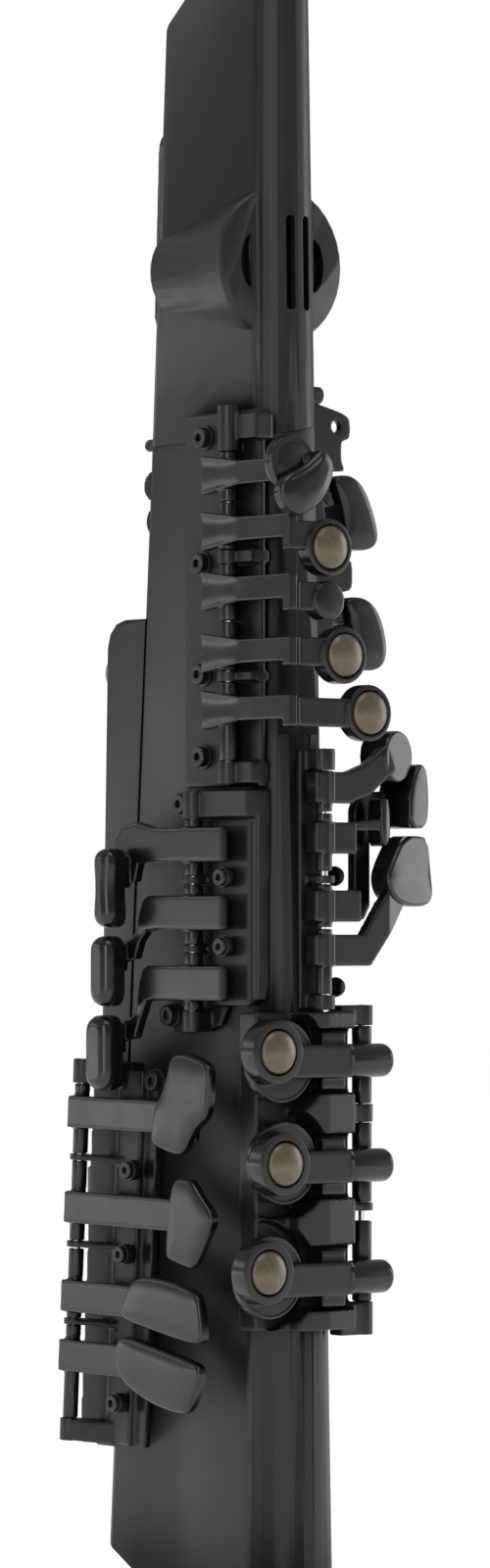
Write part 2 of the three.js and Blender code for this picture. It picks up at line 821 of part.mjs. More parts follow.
// Thumb plate with a half-round rest, and the octave lever that turns on the plate's pin
const thumb = {
  drop: 29, // from the seam to the plate's lower end
  tall: 31,
  halfWidth: 7.4,
  plate: 1.1,
  corner: 2.6,
  restRise: 6.6,
  leverRise: 16.3,
  barRadius: 4.2,
  barHalfLength: 7,
  restProud: 3.7,
  leverGap: 0.9,
  leverProud: 5.2,
  leverThickness: 1.1,
  pinRise: 27.4,
  pinRadius: 0.8,
  pinLift: 3.2,
  lugThickness: 1.2,
  lugRadius: 1.7,
};
thumb.low = seam.height - thumb.drop;
thumb.high = thumb.low + thumb.tall;
thumb.restHeight = thumb.low + thumb.restRise;
thumb.leverHeight = thumb.low + thumb.leverRise;
thumb.pinHeight = thumb.low + thumb.pinRise;
const thumbTilt = Math.atan((backAt(thumb.low) - backAt(thumb.high)) / (thumb.high - thumb.low)) / degree;
function onBodyBack(solid) {
  return moved(
    moved(solid, 0, 0, -thumb.low).rotate([thumbTilt, 0, 0]), 0, backAt(thumb.low) + clearance, thumb.low,
  );
}
// A bar across the back, flat on the side towards the body
function halfBar(z, floor, top) {
  const low = z - thumb.barRadius;
  const high = z + thumb.barRadius;
  return barX(top - thumb.barRadius, z, thumb.barRadius, -thumb.barHalfLength, thumb.barHalfLength, 20)
    .intersect(block(
      -thumb.halfWidth, thumb.halfWidth, floor, top + overrun, low - overrun, high + overrun,
    ));
}
function thumbLug(x0, x1) {
  const foot = block(
    x0, x1, 0, thumb.pinLift, thumb.pinHeight - thumb.lugRadius, thumb.pinHeight + thumb.lugRadius,
  );
  return barX(thumb.pinLift, thumb.pinHeight, thumb.lugRadius, x0, x1, 12).add(foot);
}
const thumbOutline = rounded(
  rectangle(-thumb.halfWidth, thumb.halfWidth, thumb.low, thumb.high), thumb.corner,
);
const thumbPlate = joined([
  prismY(thumbOutline, 0, thumb.plate),
  halfBar(thumb.restHeight, 0, thumb.restProud),
  thumbLug(-thumb.halfWidth, -thumb.halfWidth + thumb.lugThickness),
  thumbLug(thumb.halfWidth - thumb.lugThickness, thumb.halfWidth),
  barX(thumb.pinLift, thumb.pinHeight, thumb.pinRadius, -thumb.halfWidth, thumb.halfWidth, 12),
]);
place('thumb_rest', onBodyBack(thumbPlate), keyPlastic);
const leverHalf = thumb.halfWidth - thumb.lugThickness - clearance;
const leverFloor = thumb.plate + thumb.leverGap;
const leverOutline = rectangle(-leverHalf, leverHalf, thumb.leverHeight, thumb.pinHeight);
const octaveLever = joined([
  prismY(leverOutline, leverFloor, leverFloor + thumb.leverThickness),
  halfBar(thumb.leverHeight, leverFloor, thumb.leverProud),
  barX(thumb.pinLift, thumb.pinHeight, thumb.lugRadius, -leverHalf, leverHalf, 12),
]).subtract(barX(thumb.pinLift, thumb.pinHeight, thumb.pinRadius + clearance, -halfReach, halfReach, 12));
place('octave_lever', onBodyBack(octaveLever), keyPlastic);

// Thumb hook and strap ring on the rear housing
const hook = {
  low: 90, high: 120, halfWidth: 6, base: 2, reach: 11.5, thickness: 3, lip: 6, setShare: 0.62,
  noseShare: 0.4,
};
const hookBack = rearBackAt(hook.low) + clearance;
const hookSeat = between(hook.low, hook.high, hook.setShare);
const hookOutline = [
  [hookBack, hook.low],
  [hookBack + hook.base, hook.low],
  [hookBack + hook.base, hookSeat],
  [hookBack + hook.reach - hook.thickness, hookSeat],
  [hookBack + hook.reach - hook.thickness, hookSeat - hook.lip],
  [hookBack + hook.reach, hookSeat - hook.lip],
  [hookBack + hook.reach, hookSeat + hook.thickness * hook.noseShare],
  [hookBack + hook.reach - hook.thickness, hookSeat + hook.thickness],
  [hookBack + hook.base, hookSeat + hook.thickness],
  [hookBack + hook.base, hook.high],
  [hookBack, hook.high],
];
place('thumb_hook', prismX(hookOutline, -hook.halfWidth, hook.halfWidth), keyPlastic);

const ring = {
  drop: 13.8, outer: 5, inner: 3.2, halfThickness: 1.8, base: 1.6, baseHalfTall: 4.6, baseHalfWide: 4.5,
};
ring.height = rear.high - ring.drop;
const ringSeat = rearBackAt(ring.height - ring.baseHalfTall) + clearance;
const ringBar = (radius, half) => barX(ringSeat + ring.outer, ring.height, radius, -half, half, 24);
const ringSolid = joined([
  block(
    -ring.baseHalfWide,
    ring.baseHalfWide,
    ringSeat,
    ringSeat + ring.base,
    ring.height - ring.baseHalfTall,
    ring.height + ring.baseHalfTall,
  ),
  ringBar(ring.outer, ring.halfThickness),
]).subtract(ringBar(ring.inner, ring.halfThickness + overrun));
place('strap_ring', ringSolid, steelFinish);

// Keywork helpers. Each stack turns on one steel rod; its posts and keys share the rod between them.

// Share the rod between the posts out to the keys, each key getting the tube round its arm
function tubeRanges(posts, heights) {
  const cuts = posts.flatMap((post) => [post.low, post.high]);
  return heights.map((height, i) => {
    const above = Math.min(...cuts.filter((cut) => cut > height));
    const below = Math.max(...cuts.filter((cut) => cut < height));
    const next = heights[i - 1] !== undefined ? (heights[i - 1] + height) / 2 : above;
    const last = heights[i + 1] !== undefined ? (heights[i + 1] + height) / 2 : below;
    return [Math.max(below, last) + clearance / 2, Math.min(above, next) - clearance / 2];
  });
}

function hollowTube(radius, low, high) {
  return {
    add: barZ(0, 0, radius, low, high), cut: barZ(0, 0, boreRadius, low - overrun, high + overrun, 10),
  };
}

// A cup on a front face, with a seat for its pearl
function cupAt(x, z, radius, front, back) {
  return barY(x, z, radius, front, back, 24);
}

const pearl = { radius: 5.7, seat: 1.4, crown: 2.2, sides: 20 };
const crownShares = [[1, 0.15], [0.82, 0.65], [0.45, 0.93], [0, 1]]; // of the radius and of the crown
function pearlSeat(x, z, front) {
  return barY(x, z, pearl.radius + clearance, front - overrun, front + pearl.seat, pearl.sides);
}
function pearlAt(x, z, front) {
  const depth = pearl.seat - clearance;
  const profile = [
    [0, 0],
    [pearl.radius, 0],
    ...crownShares.map(([across, up]) => [pearl.radius * across, depth + pearl.crown * up]),
  ];
  const button = turned(profile, pearl.sides).rotate([90, 0, 0]);
  return moved(button, x, front + depth, z);
}

function fromShares(shares, x0, x1, z0, z1) {
  return shares.map(([a, b]) => [between(x0, x1, a), between(z0, z1, b)]);
}

// Left-hand finger keys on the right side of the upper body
const upper = {
  rodX: -15.5,
  rodY: -12.3,
  tubeRadius: 2.6,
  postRadius: 3.1,
  armOut: 3.1,
  armThickness: 2.8,
  armTall: 6.4,
  footTall: 10.6,
  footBack: 8.4,
  footFront: -7.6,
  bend: -29.3,
  barDepth: 3,
  barTall: 7.6,
  cupRadius: 7.45,
  cupFront: -30.2,
  cupDepth: 5,
  plateOut: -12.4,
  plateIn: -10.5,
  webIn: -9,
  plateFront: -21.8,
  plateBack: 10.5,
  webFront: -23.4,
  webBackShare: 0.7,
};
upper.plateLow = upperStack.foot;
upper.plateHigh = upperStack.foot + upperStack.posts[0].high - upperStack.plateDrop;
const upperPosts = raised(upperStack.foot, upperStack.posts);
const upperKeys = raised(upperStack.foot, [
  { name: 'front_f', arm: 83.6, bar: 83.6, cupX: -12.4, cup: 85 },
  { name: 'b', arm: 68.6, bar: 66, cupX: -5.3, cup: 63, pearl: true },
  { name: 'bis', arm: 52.5, bar: 49.9, cupX: -5.5, cup: 48.9, button: true },
  { name: 'a', arm: 35.9, bar: 35.3, cupX: -0.2, cup: 34.5, pearl: true },
  { name: 'g', arm: 20.6, bar: 19.3, cupX: 8.4, cup: 19.4, pearl: true },
], ['arm', 'bar', 'cup']);
const frontF = {
  discRadius: 7.4,
  discFront: -29.4,
  discBack: -26,
  discX: -17.3,
  touchX: -24,
  touchWide: 18.4,
  touchDrop: 14.4, // below the middle of the disc
  touchTall: 17.8,
  touchDepth: 3.6,
  touchGap: 0.9,
  neckHalf: 2.4,
};
const teardropShares = [
  [0.84, 1], [1, 0.81], [0.965, 0.595], [0.84, 0.335], [0.61, 0.13], [0.35, 0],
  [0.09, 0.13], [0, 0.335], [0.075, 0.58], [0.41, 0.72], [0.61, 0.87], [0.74, 0.99],
].reverse();
const bisRadius = 5.1;
const upperRanges = tubeRanges(upperPosts, upperKeys.map((one) => one.arm));
upperKeys.forEach((one, i) => {
  const [low, high] = upperRanges[i];
  const tube = hollowTube(upper.tubeRadius, low, high);
  const half = upper.armTall / 2;
  const foot = [
    [upper.footBack, one.arm - upper.footTall / 2],
    [upper.footBack, one.arm + upper.footTall / 2],
    [upper.footFront, one.arm + half],
    [upper.bend, one.arm + half],
    [upper.bend, one.arm - half],
    [upper.footFront, one.arm - half],
  ];
  const cupX = one.cupX - upper.rodX;
  const parts = [
    tube.add,
    prismX(foot, -upper.armOut, -upper.armOut + upper.armThickness),
    block(
      -upper.armOut, cupX, upper.bend, upper.bend + upper.barDepth, one.bar - upper.barTall / 2,
      one.bar + upper.barTall / 2,
    ),
  ];
  const cutters = [tube.cut];
  if (one.name === 'front_f') {
    parts.push(cupAt(
      frontF.discX - upper.rodX, one.cup, frontF.discRadius, frontF.discFront, frontF.discBack,
    ));
    const left = frontF.touchX - upper.rodX;
    const touchLow = one.cup - frontF.touchDrop;
    const touch = fromShares(
      teardropShares, left, left + frontF.touchWide, touchLow, touchLow + frontF.touchTall,
    );
    const back = upper.bend - frontF.touchGap;
    parts.push(prismY(touch, back - frontF.touchDepth, back));
    parts.push(block(
      cupX - frontF.neckHalf, cupX + frontF.neckHalf, back - clearance, upper.bend + clearance,
      one.arm - half, one.arm + half,
    ));
  } else {
    const radius = one.button ? bisRadius : upper.cupRadius;
    parts.push(cupAt(cupX, one.cup, radius, upper.cupFront, upper.cupFront + upper.cupDepth));
  }
  if (one.pearl) cutters.push(pearlSeat(cupX, one.cup, upper.cupFront));
  const position = [upper.rodX, upper.rodY, 0];
  place(`${one.name}_key`, without(joined(parts), cutters), keyPlastic, instrument, position);
  if (one.pearl) place(
    `${one.name}_pearl`, pearlAt(cupX, one.cup, upper.cupFront), pearlFinish, instrument, position,
  );
});

function postSolid(rodX, rodY, radius, post) {
  return barZ(rodX, rodY, radius, post.low, post.high);
}
function rodHole(rodX, rodY) {
  return barZ(rodX, rodY, boreRadius, -overrun, body.length, 10);
}
const upperWebs = upperPosts.map((post) => joined([
  postSolid(upper.rodX, upper.rodY, upper.postRadius, post),
  block(
    upper.rodX,
    upper.webIn,
    post.webLow ? upper.webFront : upper.plateFront,
    upper.rodY + upper.postRadius * upper.webBackShare,
    post.webLow || post.low,
    post.webHigh || post.high,
  ),
]));
const upperPlate = joined([
  block(upper.plateOut, upper.plateIn, upper.plateFront, upper.plateBack, upper.plateLow, upper.plateHigh),
  ...upperWebs,
]).subtract(bodyKeepOut).subtract(rodHole(upper.rodX, upper.rodY));
place('upper_plate', upperPlate, platePlastic);
const rodEnd = 0.8; // how far a rod shows past its end posts
place(
  'upper_rod',
  barZ(upper.rodX, upper.rodY, rodRadius, upperPosts[3].low - rodEnd, upperPosts[0].high + rodEnd, 12),
  steelFinish,
);

// Left palm keys on the far side, hung on a bracket that stands out of the body
const palm = {
  front: -14,
  back: 6,
  plateFront: -13,
  plateBack: -10.6,
  armFront: -10.3,
  armBack: -7.3,
  pinX: 14,
  pinHead: 1.8,
  armHalf: 3,
  eyeletRadius: 1.7,
  eyeletX: 21.5,
  eyeletRise: 98.3,
};
const palmBracketOutline = rounded([
  [8, 31], [17, 31], [21, 37], [20.4, 53.6], [27.2, 53.6],
  [27.2, 62.6], [20.6, 62.6], [17.2, 76], [16.3, 86.2],
  [24.8, 86.2], [23.3, 89], [23.3, 94.6], [26.4, 95], [26.4, 101],
  [22.6, 102.4], [14, 104.4], [11, 107.5], [8, 107.5],
], 2.4, 3);
const palmKeys = [
  { pinZ: 89, root: [14, 89], reach: [25, 77], outline: [
    [19.8, 85.1], [30.2, 85.1], [36.6, 71], [35.4, 65.3], [25, 65], [24.6, 72], [22.8, 78.5],
  ] },
  { pinZ: 56, root: [14, 56], reach: [29, 45], outline: [
    [24.25, 52.4], [35, 51.7], [39.8, 40.3], [38.2, 32.5], [28, 32.5], [27.6, 40], [26.4, 46.5],
  ] },
];
const palmPins = palmKeys.flatMap((one) => [
  barY(palm.pinX, one.pinZ, rodRadius, palm.plateFront, palm.armBack + clearance * 2, 12),
  barY(
    palm.pinX, one.pinZ, palm.pinHead, palm.armBack + clearance, palm.armBack + clearance + rodRadius, 12,
  ),
]);
const palmEyelet = barY(palm.eyeletX, palm.eyeletRise, palm.eyeletRadius, -body.length, body.length, 16);
const onPalm = (solid) => moved(solid, 0, 0, upperStack.foot);
const palmPlate = prismY(palmBracketOutline, palm.plateFront, palm.plateBack).subtract(palmEyelet);
place(
  'palm_bracket', joined([onPalm(palmPlate).subtract(bodyKeepOut), ...palmPins.map(onPalm)]), platePlastic,
);
palmKeys.forEach((one, i) => {
  const touch = prismY(rounded(one.outline.slice().reverse(), 1.6, 3), palm.front, palm.back);
  const [x0, z0] = one.root;
  const [x1, z1] = one.reach;
  const across = new THREE.Vector2(z1 - z0, x0 - x1).setLength(palm.armHalf);
  const arm = prismY([
    [x0 + across.x, z0 + across.y], [x1 + across.x, z1 + across.y],
    [x1 - across.x, z1 - across.y], [x0 - across.x, z0 - across.y],
  ], palm.armFront, palm.armBack);
  const eye = barY(x0, z0, palm.armHalf, palm.armFront, palm.armBack, 16);
  const bore = barY(x0, z0, boreRadius, palm.armFront - overrun, palm.armBack + overrun, 12);
  place(`palm_key_${i + 1}`, onPalm(joined([touch, arm, eye]).subtract(bore)), keyPlastic);
});

// Left-hand little-finger table down the front
const table = {
  rodX: 1.6,
  rodY: -31.5,
  tubeRadius: 2.1,
  postRadius: 2.9,
  armLeft: -3.8,
  armFront: -1.9,
  saddleRight: 2.6, // the arm is thick over its hinge and thinner past it
  armBack: 3.6,
  thinFront: -0.2,
  thinBack: 3,
  sunkFront: 1.7,
  sunkBack: 5.2,
  rearFront: 9.2,
  rearBack: 12.2,
  plateLeft: -3.4,
  plateRight: 4,
  plateFront: -27.5,
  plateBack: -20,
  turn: 18,
};
const tablePosts = raised(tableStack.foot, tableStack.posts);
const tableArms = tableStack.arms.map((arm) => arm + tableStack.foot);
table.plateLow = tablePosts[2].low;
table.plateHigh = tablePosts[0].high;
const tableArmTall = 8.4;
const tableRanges = tubeRanges(tablePosts, tableArms);

// A touch whose face is turned towards the far side; its outline is [across, z] about the face's middle
function turnedTouch(solid, x, y) {
  return moved(solid.rotate([0, 0, table.turn]), x - table.rodX, y - table.rodY, tableStack.foot);
}
function tableArm(z, right) {
  const low = z - tableArmTall / 2;
  const high = z + tableArmTall / 2;
  return joined([
    block(table.armLeft, table.saddleRight, table.armFront, table.armBack, low, high),
    block(table.saddleRight - clearance, right - table.rodX, table.thinFront, table.armBack, low, high),
  ]);
}
function tableSheet(points, front, back) {
  return prismY(points.map(([x, z]) => [x - table.rodX, z + tableStack.foot]), front, back);
}
const roundSteps = 3;
const tableFaces = [
  { x: 29.2, y: -30, depth: 8.4, reach: 12, rise: 67.9, radius: 6.9, sides: 28 },
  { x: 25.3, y: -30, depth: 4.8, reach: 13, round: 0.9, halfWide: 1.95, low: 43.9, high: 56.6 },
  { x: 37.5, y: -29.4, depth: 10.6, reach: 14.6, round: 1.2, stemLeft: 12.2, stemRight: 16, stemSink: 1.6 },
  { x: 34.4, y: -30, depth: 6, reach: 14, round: 1.6 },
];
function faced(outline, face) {
  return turnedTouch(prismY(rounded(outline, face.round, roundSteps), 0, face.depth), face.x, face.y);
}
const [puckFace, barFace, cutFace, broadFace] = tableFaces;
const tableTouches = [
  // G sharp: an arm that rises to a round puck
  [
    tableArm(tableArms[0], puckFace.reach),
    tableSheet(
      [
        [10, 55.1], [18, 57.5], [27, 64.5], [24, 71.5], [17, 66], [10, 63.4],
      ], table.thinFront, table.thinBack,
    ),
    turnedTouch(
      barY(0, puckFace.rise, puckFace.radius, 0, puckFace.depth, puckFace.sides), puckFace.x, puckFace.y,
    ),
  ],
  // Low C sharp: a narrow upright bar
  [
    tableArm(tableArms[1], barFace.reach),
    tableSheet([[10, 47.9], [26, 47.9], [26, 51.5], [12, 50]], table.sunkFront, table.sunkBack),
    faced(rectangle(-barFace.halfWide, barFace.halfWide, barFace.low, barFace.high), barFace),
  ],
  // Low B: a stem that passes behind the others to a cut-off plate
  [
    tableArm(tableArms[2], cutFace.reach),
    block(
      cutFace.stemLeft - table.rodX, cutFace.stemRight - table.rodX, table.armBack - cutFace.stemSink,
      table.rearBack, tableArms[2] - tableArmTall / 2, tableArms[2] + tableArmTall / 2,
    ),
    tableSheet([
      [13, 24], [23.5, 24], [25.5, 27.5], [25.5, 51], [38, 51.5], [38, 58.9], [22, 58.5], [19.8, 53.5],
      [19.8, 31.8], [13, 31.8],
    ], table.rearFront, table.rearBack),
    faced([
      [-4.6, 48.9], [3, 48.7], [4.6, 53.5], [4.2, 62], [2.6, 65.9], [-0.6, 65.9], [-4.6, 58.1],
    ], cutFace),
  ],
  // Low B flat: an arm that climbs to the broad plate
  [
    tableArm(tableArms[3], broadFace.reach),
    tableSheet([
      [12, 11.6], [18, 11.6], [32.4, 29.5], [27.4, 35], [21.4, 28.5], [15.4, 20], [12, 20],
    ], table.thinFront, table.thinBack),
    faced([
      [-11.4, 33.1], [-8.4, 29.7], [-2, 27.7], [8, 27.7], [11.4, 30.1], [10, 37], [8.6, 46.5], [-3.4, 46.5],
      [-11.4, 37.1],
    ], broadFace),
  ],
];
const tablePosition = [table.rodX, table.rodY, 0];
tableTouches.forEach((parts, i) => {
  const [low, high] = tableRanges[i];
  const tube = hollowTube(table.tubeRadius, low, high);
  place(
    `table_key_${i + 1}`, joined([tube.add, ...parts]).subtract(tube.cut), keyPlastic, instrument,
    tablePosition,
  );
});
const tableWebs = tablePosts.map((post) => joined([
  postSolid(table.rodX, table.rodY, table.postRadius, post),
  block(
    table.rodX - table.postRadius, table.rodX + table.postRadius, table.rodY, table.plateBack, post.low,
    post.high,
  ),
]));
const tablePlate = joined([
  block(
    table.plateLeft, table.plateRight, table.plateFront, table.plateBack, table.plateLow, table.plateHigh,
  ),
  ...tableWebs,
]).subtract(bodyKeepOut).subtract(rodHole(table.rodX, table.rodY));
place('table_plate', tablePlate, platePlastic);
place(
  'table_rod', barZ(table.rodX, table.rodY, rodRadius, tablePosts[2].low, tablePosts[0].high + rodEnd, 12),
  steelFinish,
);

// Right-hand side keys on the near side
const side = {
  rodX: -17.5,
  rodY: 0.35,
  tubeRadius: 2.5,
  postRadius: 2.9,
  armOut: 3,
  armThickness: 2.8,
  armFront: -15.4,
  armBack: 16.7,
  armTall: 9.4,
  touchOut: 12.3,
  touchIn: 5.9,
  stemIn: 0.2,
  stemStart: 14,
  padInset: 2.2,
  stemReach: 28,
  plateOut: -13.4,
  plateIn: -9,
  coverOut: -15,
  coverFront: -20.4,
  coverBack: -3,
  coverRise: 1,
  coverTall: 49.2,
  webFront: -22,
};
side.coverLow = sideStack.foot + side.coverRise;
side.coverHigh = side.coverLow + side.coverTall;
const sidePosts = raised(sideStack.foot, sideStack.posts);
const sideArms = sideStack.arms.map((arm) => arm + sideStack.foot);
const sideRanges = tubeRanges(sidePosts, sideArms);
const sideTouches = raised(sideStack.foot, [
  { low: 22, high: 43.2, front: 21.9, back: 30.8, waist: 1.4 },
  { low: 0.6, high: 19.5, front: 23, back: 31.8, waist: 0 },
  { low: -22.1, high: -2, front: 23.8, back: 33.8, waist: 0 },
]);
sideTouches.forEach((touch, i) => {
  const arm = sideArms[i];
  const half = side.armTall / 2;
  const [low, high] = sideRanges[i];
  const tube = hollowTube(side.tubeRadius, low, high);
  const y = (value) => value - side.rodY;
  const middle = (touch.low + touch.high) / 2;
  const pad = rounded([
    [y(touch.front), touch.low], [y(touch.back), touch.low], [
      y(touch.back - touch.waist), middle,
    ], [y(touch.back), touch.high],
    [y(touch.front), touch.high], [y(touch.front + touch.waist), middle],
  ], 3.2, 4);
  const stem = i === 0
    ? [
      [side.stemStart, arm - half], [21, arm - half],
      [22.6, touch.high - 9], [side.stemReach, touch.high - 9],
      [31.4, arm - 4.6], [31.4, arm + 1.4], [side.stemReach, arm + 5.4],
      [22, arm + 6.4], [side.stemStart, arm + half],
    ]
    : [
      [side.stemStart, arm - half], [side.stemStart + 3.6, arm - half - 0.4], [20.4, touch.high - 1.4],
      [22.4, touch.high - 6], [side.stemReach, touch.high - 7], [side.stemReach, touch.high - 1],
      [24, touch.high - 0.4], [21.8, touch.high + 1.6], [20.8, arm], [19, arm + half - 1], [17, arm + half],
      [side.stemStart, arm + half],
    ];
  const parts = [
    tube.add,
    block(
      -side.armOut, -side.armOut + side.armThickness, side.armFront, side.armBack, arm - half, arm + half,
    ),
    prismX(stem.map(([a, z]) => [y(a), z]), -side.armOut, -side.stemIn),
    block(
      -side.touchIn - clearance, -side.armOut + clearance, y(touch.front + side.padInset),
      y(touch.back - side.padInset), middle, touch.high - side.padInset,
    ),
    prismX(pad, -side.touchOut, -side.touchIn),
  ];
  place(
    `side_key_${i + 1}`, joined(parts).subtract(tube.cut), keyPlastic, instrument,
    [side.rodX, side.rodY, 0],
  );
});
const sidePlateOutline = lifted(sideStack.foot, [
  [-22, 2.5], [-9, 0.5], [-6, -4.5], [8, -7], [15.5, -6], [15.5, 2],
  [6, 4], [6, 49.5], [6, 58.9], [-22, 58.9],
]);
const sideWebs = sidePosts.map((post) => joined([
  postSolid(side.rodX, side.rodY, side.postRadius, post),
  block(
    side.rodX, side.plateIn, side.rodY - side.postRadius, side.rodY + side.postRadius, post.low, post.high,
  ),
]));
const sidePlate = joined([
  prismX(sidePlateOutline, side.plateOut, side.plateIn),
  block(side.coverOut, side.plateIn, side.coverFront, side.coverBack, side.coverLow, side.coverHigh),
  block(side.rodX, side.plateIn, side.webFront, side.rodY, sidePosts[0].low, sidePosts[0].high),
  ...sideWebs,
]).subtract(bodyKeepOut).subtract(rodHole(side.rodX, side.rodY));
place('side_plate', sidePlate, platePlastic);
place(
  'side_rod',
  barZ(side.rodX, side.rodY, rodRadius, sidePosts[3].low - rodEnd, sidePosts[0].high + rodEnd, 12),
  steelFinish,
);

// Right-hand finger keys low on the front, on their scalloped block
const lower = {
  rodX: 17.6,
  rodY: -28,
  tubeRadius: 2.65,
  discRadius: 11,
  discFront: -33,
  discBack: -30,
  bossRadius: 8.4,
  bossFront: -38.6,
  armFront: -37.6,
  armBack: -34.2,
  armTall: 8.8,
  flagLeft: -1.2,
  flagTall: 15,
  flagBack: -31.6,
  lugRadius: 4.4,
  lugStart: 6.4,
  lugEnd: 20.4,
  lugEase: 1.6,
  lugEaseShare: 0.3,
  lugSides: 24,
  lugY: -34.3,
  armEnd: 6.8,
  blockLeft: -17.4,
  blockRight: 12.4,
  blockFront: -29,
  blockBack: -18.5,
  ridgeLeft: -9,
  ridgeFront: -34,
  ridgeStep: 1.6,
  pocketRadius: 15,
  pocketFloor: -26.4,
  ridgeSlope: 2,
  ridgeMargin: 1,
  webSink: 4,
};
const lowerArms = lowerStack.arms.map((arm) => arm + lowerStack.foot);
lower.low = lowerStack.foot;
lower.high = lowerArms[0] + lowerStack.top;
// Discs and bosses, each placed up from its key's arm
const lowerKeys = [
  { name: 'f', disc: [-14.1, 0.1], boss: [-19.9, 2.6] },
  { name: 'e', disc: [-13.2, 1.2], boss: [-17.5, 1.1] },
  { name: 'd', disc: [-17.9, 0.8], boss: [-23.1, 2.4] },
].map((one, i) => ({
  name: one.name,
  arm: lowerArms[i],
  disc: [one.disc[0], one.disc[1] + lowerArms[i]],
  boss: [one.boss[0], one.boss[1] + lowerArms[i]],
}));
const lowerPosts = raised(lowerStack.foot, lowerStack.posts);
const lowerRanges = tubeRanges(lowerPosts, lowerKeys.map((one) => one.arm));
const lowerPosition = [lower.rodX, lower.rodY, 0];
const lowerBack = (y) => y - lower.rodY;

// The round lug that ends each arm, with an eased end, lying along X from its start
const rightAngle = 90;
function lowerLug() {
  const long = lower.lugEnd - lower.lugStart;
  const part = lower.lugEase * lower.lugEaseShare;
  return turned([
    [0, 0],
    [lower.lugRadius, 0],
    [lower.lugRadius, long - lower.lugEase],
    [lower.lugRadius - part, long - part],
    [lower.lugRadius - lower.lugEase, long],
    [0, long],
  ], lower.lugSides).rotate([0, rightAngle, 0]);
}
lowerKeys.forEach((one, i) => {
  const [low, high] = lowerRanges[i];
  const tube = hollowTube(lower.tubeRadius, low, high);
  const half = lower.armTall / 2;
  const x = (value) => value - lower.rodX;
  const [discX, discZ] = one.disc;
  const [bossX, bossZ] = one.boss;
  const parts = [
    tube.add,
    barY(x(discX), discZ, lower.discRadius, lowerBack(lower.discFront), lowerBack(lower.discBack), 32),
    barY(
      x(bossX), bossZ, lower.bossRadius, lowerBack(lower.bossFront), lowerBack(lower.discFront) + clearance,
      28,
    ),
    block(
      x(bossX), x(lower.armEnd), lowerBack(lower.armFront), lowerBack(lower.armBack), one.arm - half,
      one.arm + half,
    ),
    block(
      x(lower.flagLeft), x(lower.armEnd), lowerBack(lower.armBack) - clearance, lowerBack(lower.flagBack),
      one.arm - lower.flagTall / 2, one.arm + lower.flagTall / 2,
    ),
    moved(lowerLug(), x(lower.lugStart), lowerBack(lower.lugY), one.arm),
  ];
  const seat = pearlSeat(x(bossX), bossZ, lowerBack(lower.bossFront));
  place(`${one.name}_key`, without(joined(parts), [tube.cut, seat]), keyPlastic, instrument, lowerPosition);
  place(
    `${one.name}_pearl`, pearlAt(x(bossX), bossZ, lowerBack(lower.bossFront)), pearlFinish, instrument,
    lowerPosition,
  );
});
const ridgeGap = lower.flagTall / 2 + lower.ridgeMargin;
const ridgeEdges = [
  lower.high, ...lowerKeys.flatMap((one) => [one.arm + ridgeGap, one.arm - ridgeGap]), lower.low,
];
const ridgeOutline = [
  [lower.ridgeLeft, lower.ridgeFront], [lower.ridgeStep, lower.ridgeFront], [
    lower.blockRight, lower.ridgeFront + lower.ridgeSlope,
  ], [lower.blockRight, lower.blockBack],
  [lower.ridgeLeft, lower.blockBack],
];
const ridges = [];
for (let i = 0; i < ridgeEdges.length; i += 2) ridges.push(prismZ(
  ridgeOutline, ridgeEdges[i + 1], ridgeEdges[i],
));
const lowerWebs = lowerPosts.map((post) => joined([
  postSolid(lower.rodX, lower.rodY, lower.tubeRadius + clearance, post),
  block(
    lower.blockRight - lower.webSink, lower.rodX, lower.rodY - lower.tubeRadius,
    lower.rodY + lower.tubeRadius, post.low, post.high,
  ),
]));
const pockets = lowerKeys.map((one) => barY(
  one.disc[0], one.disc[1], lower.pocketRadius, -body.length, lower.pocketFloor, 32,
));
const lowerBlock = without(joined([
  block(lower.blockLeft, lower.blockRight, lower.blockFront, lower.blockBack, lower.low, lower.high),
  ...ridges,
]), pockets).add(joined(lowerWebs)).subtract(bodyKeepOut).subtract(rodHole(lower.rodX, lower.rodY));
place('lower_block', lowerBlock, platePlastic);
place(
  'lower_rod',
  barZ(lower.rodX, lower.rodY, rodRadius, lowerPosts[3].low - rodEnd, lowerPosts[0].high + rodEnd, 12),
  steelFinish,
);

// Right-hand little-finger keys on a rod that leans with the body's back
const pinky = {
  x: -22,
  y: 49.1,
  z: 38.7,
  lean: 0.061,
  tubeRadius: 2.05,
  postRadius: 2.7,
  armOut: -3,
  armIn: -0.2,
  armBack: 2.8,
  armTall: 8.7,
  touchOut: -7,
  touchIn: -4.4,
  padIn: -2.6,
  padInset: 4,
  padFront: 7.5,
  armSlope: 0.045, // the arms lie nearly level while the rod leans
  armPivot: -22,
  railFront: -25,
  ridgeFront: -20.5,
  ridgeBack: -11,
  railBack: -8,
  railOut: 6.5,
  ridgeOut: 4.6,
  railIn: 11,
  backingOut: 7,
  backingIn: 8.2,
  backingBack: 4.4,
  low: -2,
  high: 100,
};
function alongPinky(solid) {
  return moved(solid.rotate([pinky.lean / degree, 0, 0]), pinky.x, pinky.y, pinky.z);
}
const pinkyPosts = [
  { low: 95.5, high: 102 }, { low: 74.4, high: 76 }, { low: 50.6, high: 52.2 }, { low: 29.4, high: 31 },
  { low: -2.4, high: 3.6 },
];
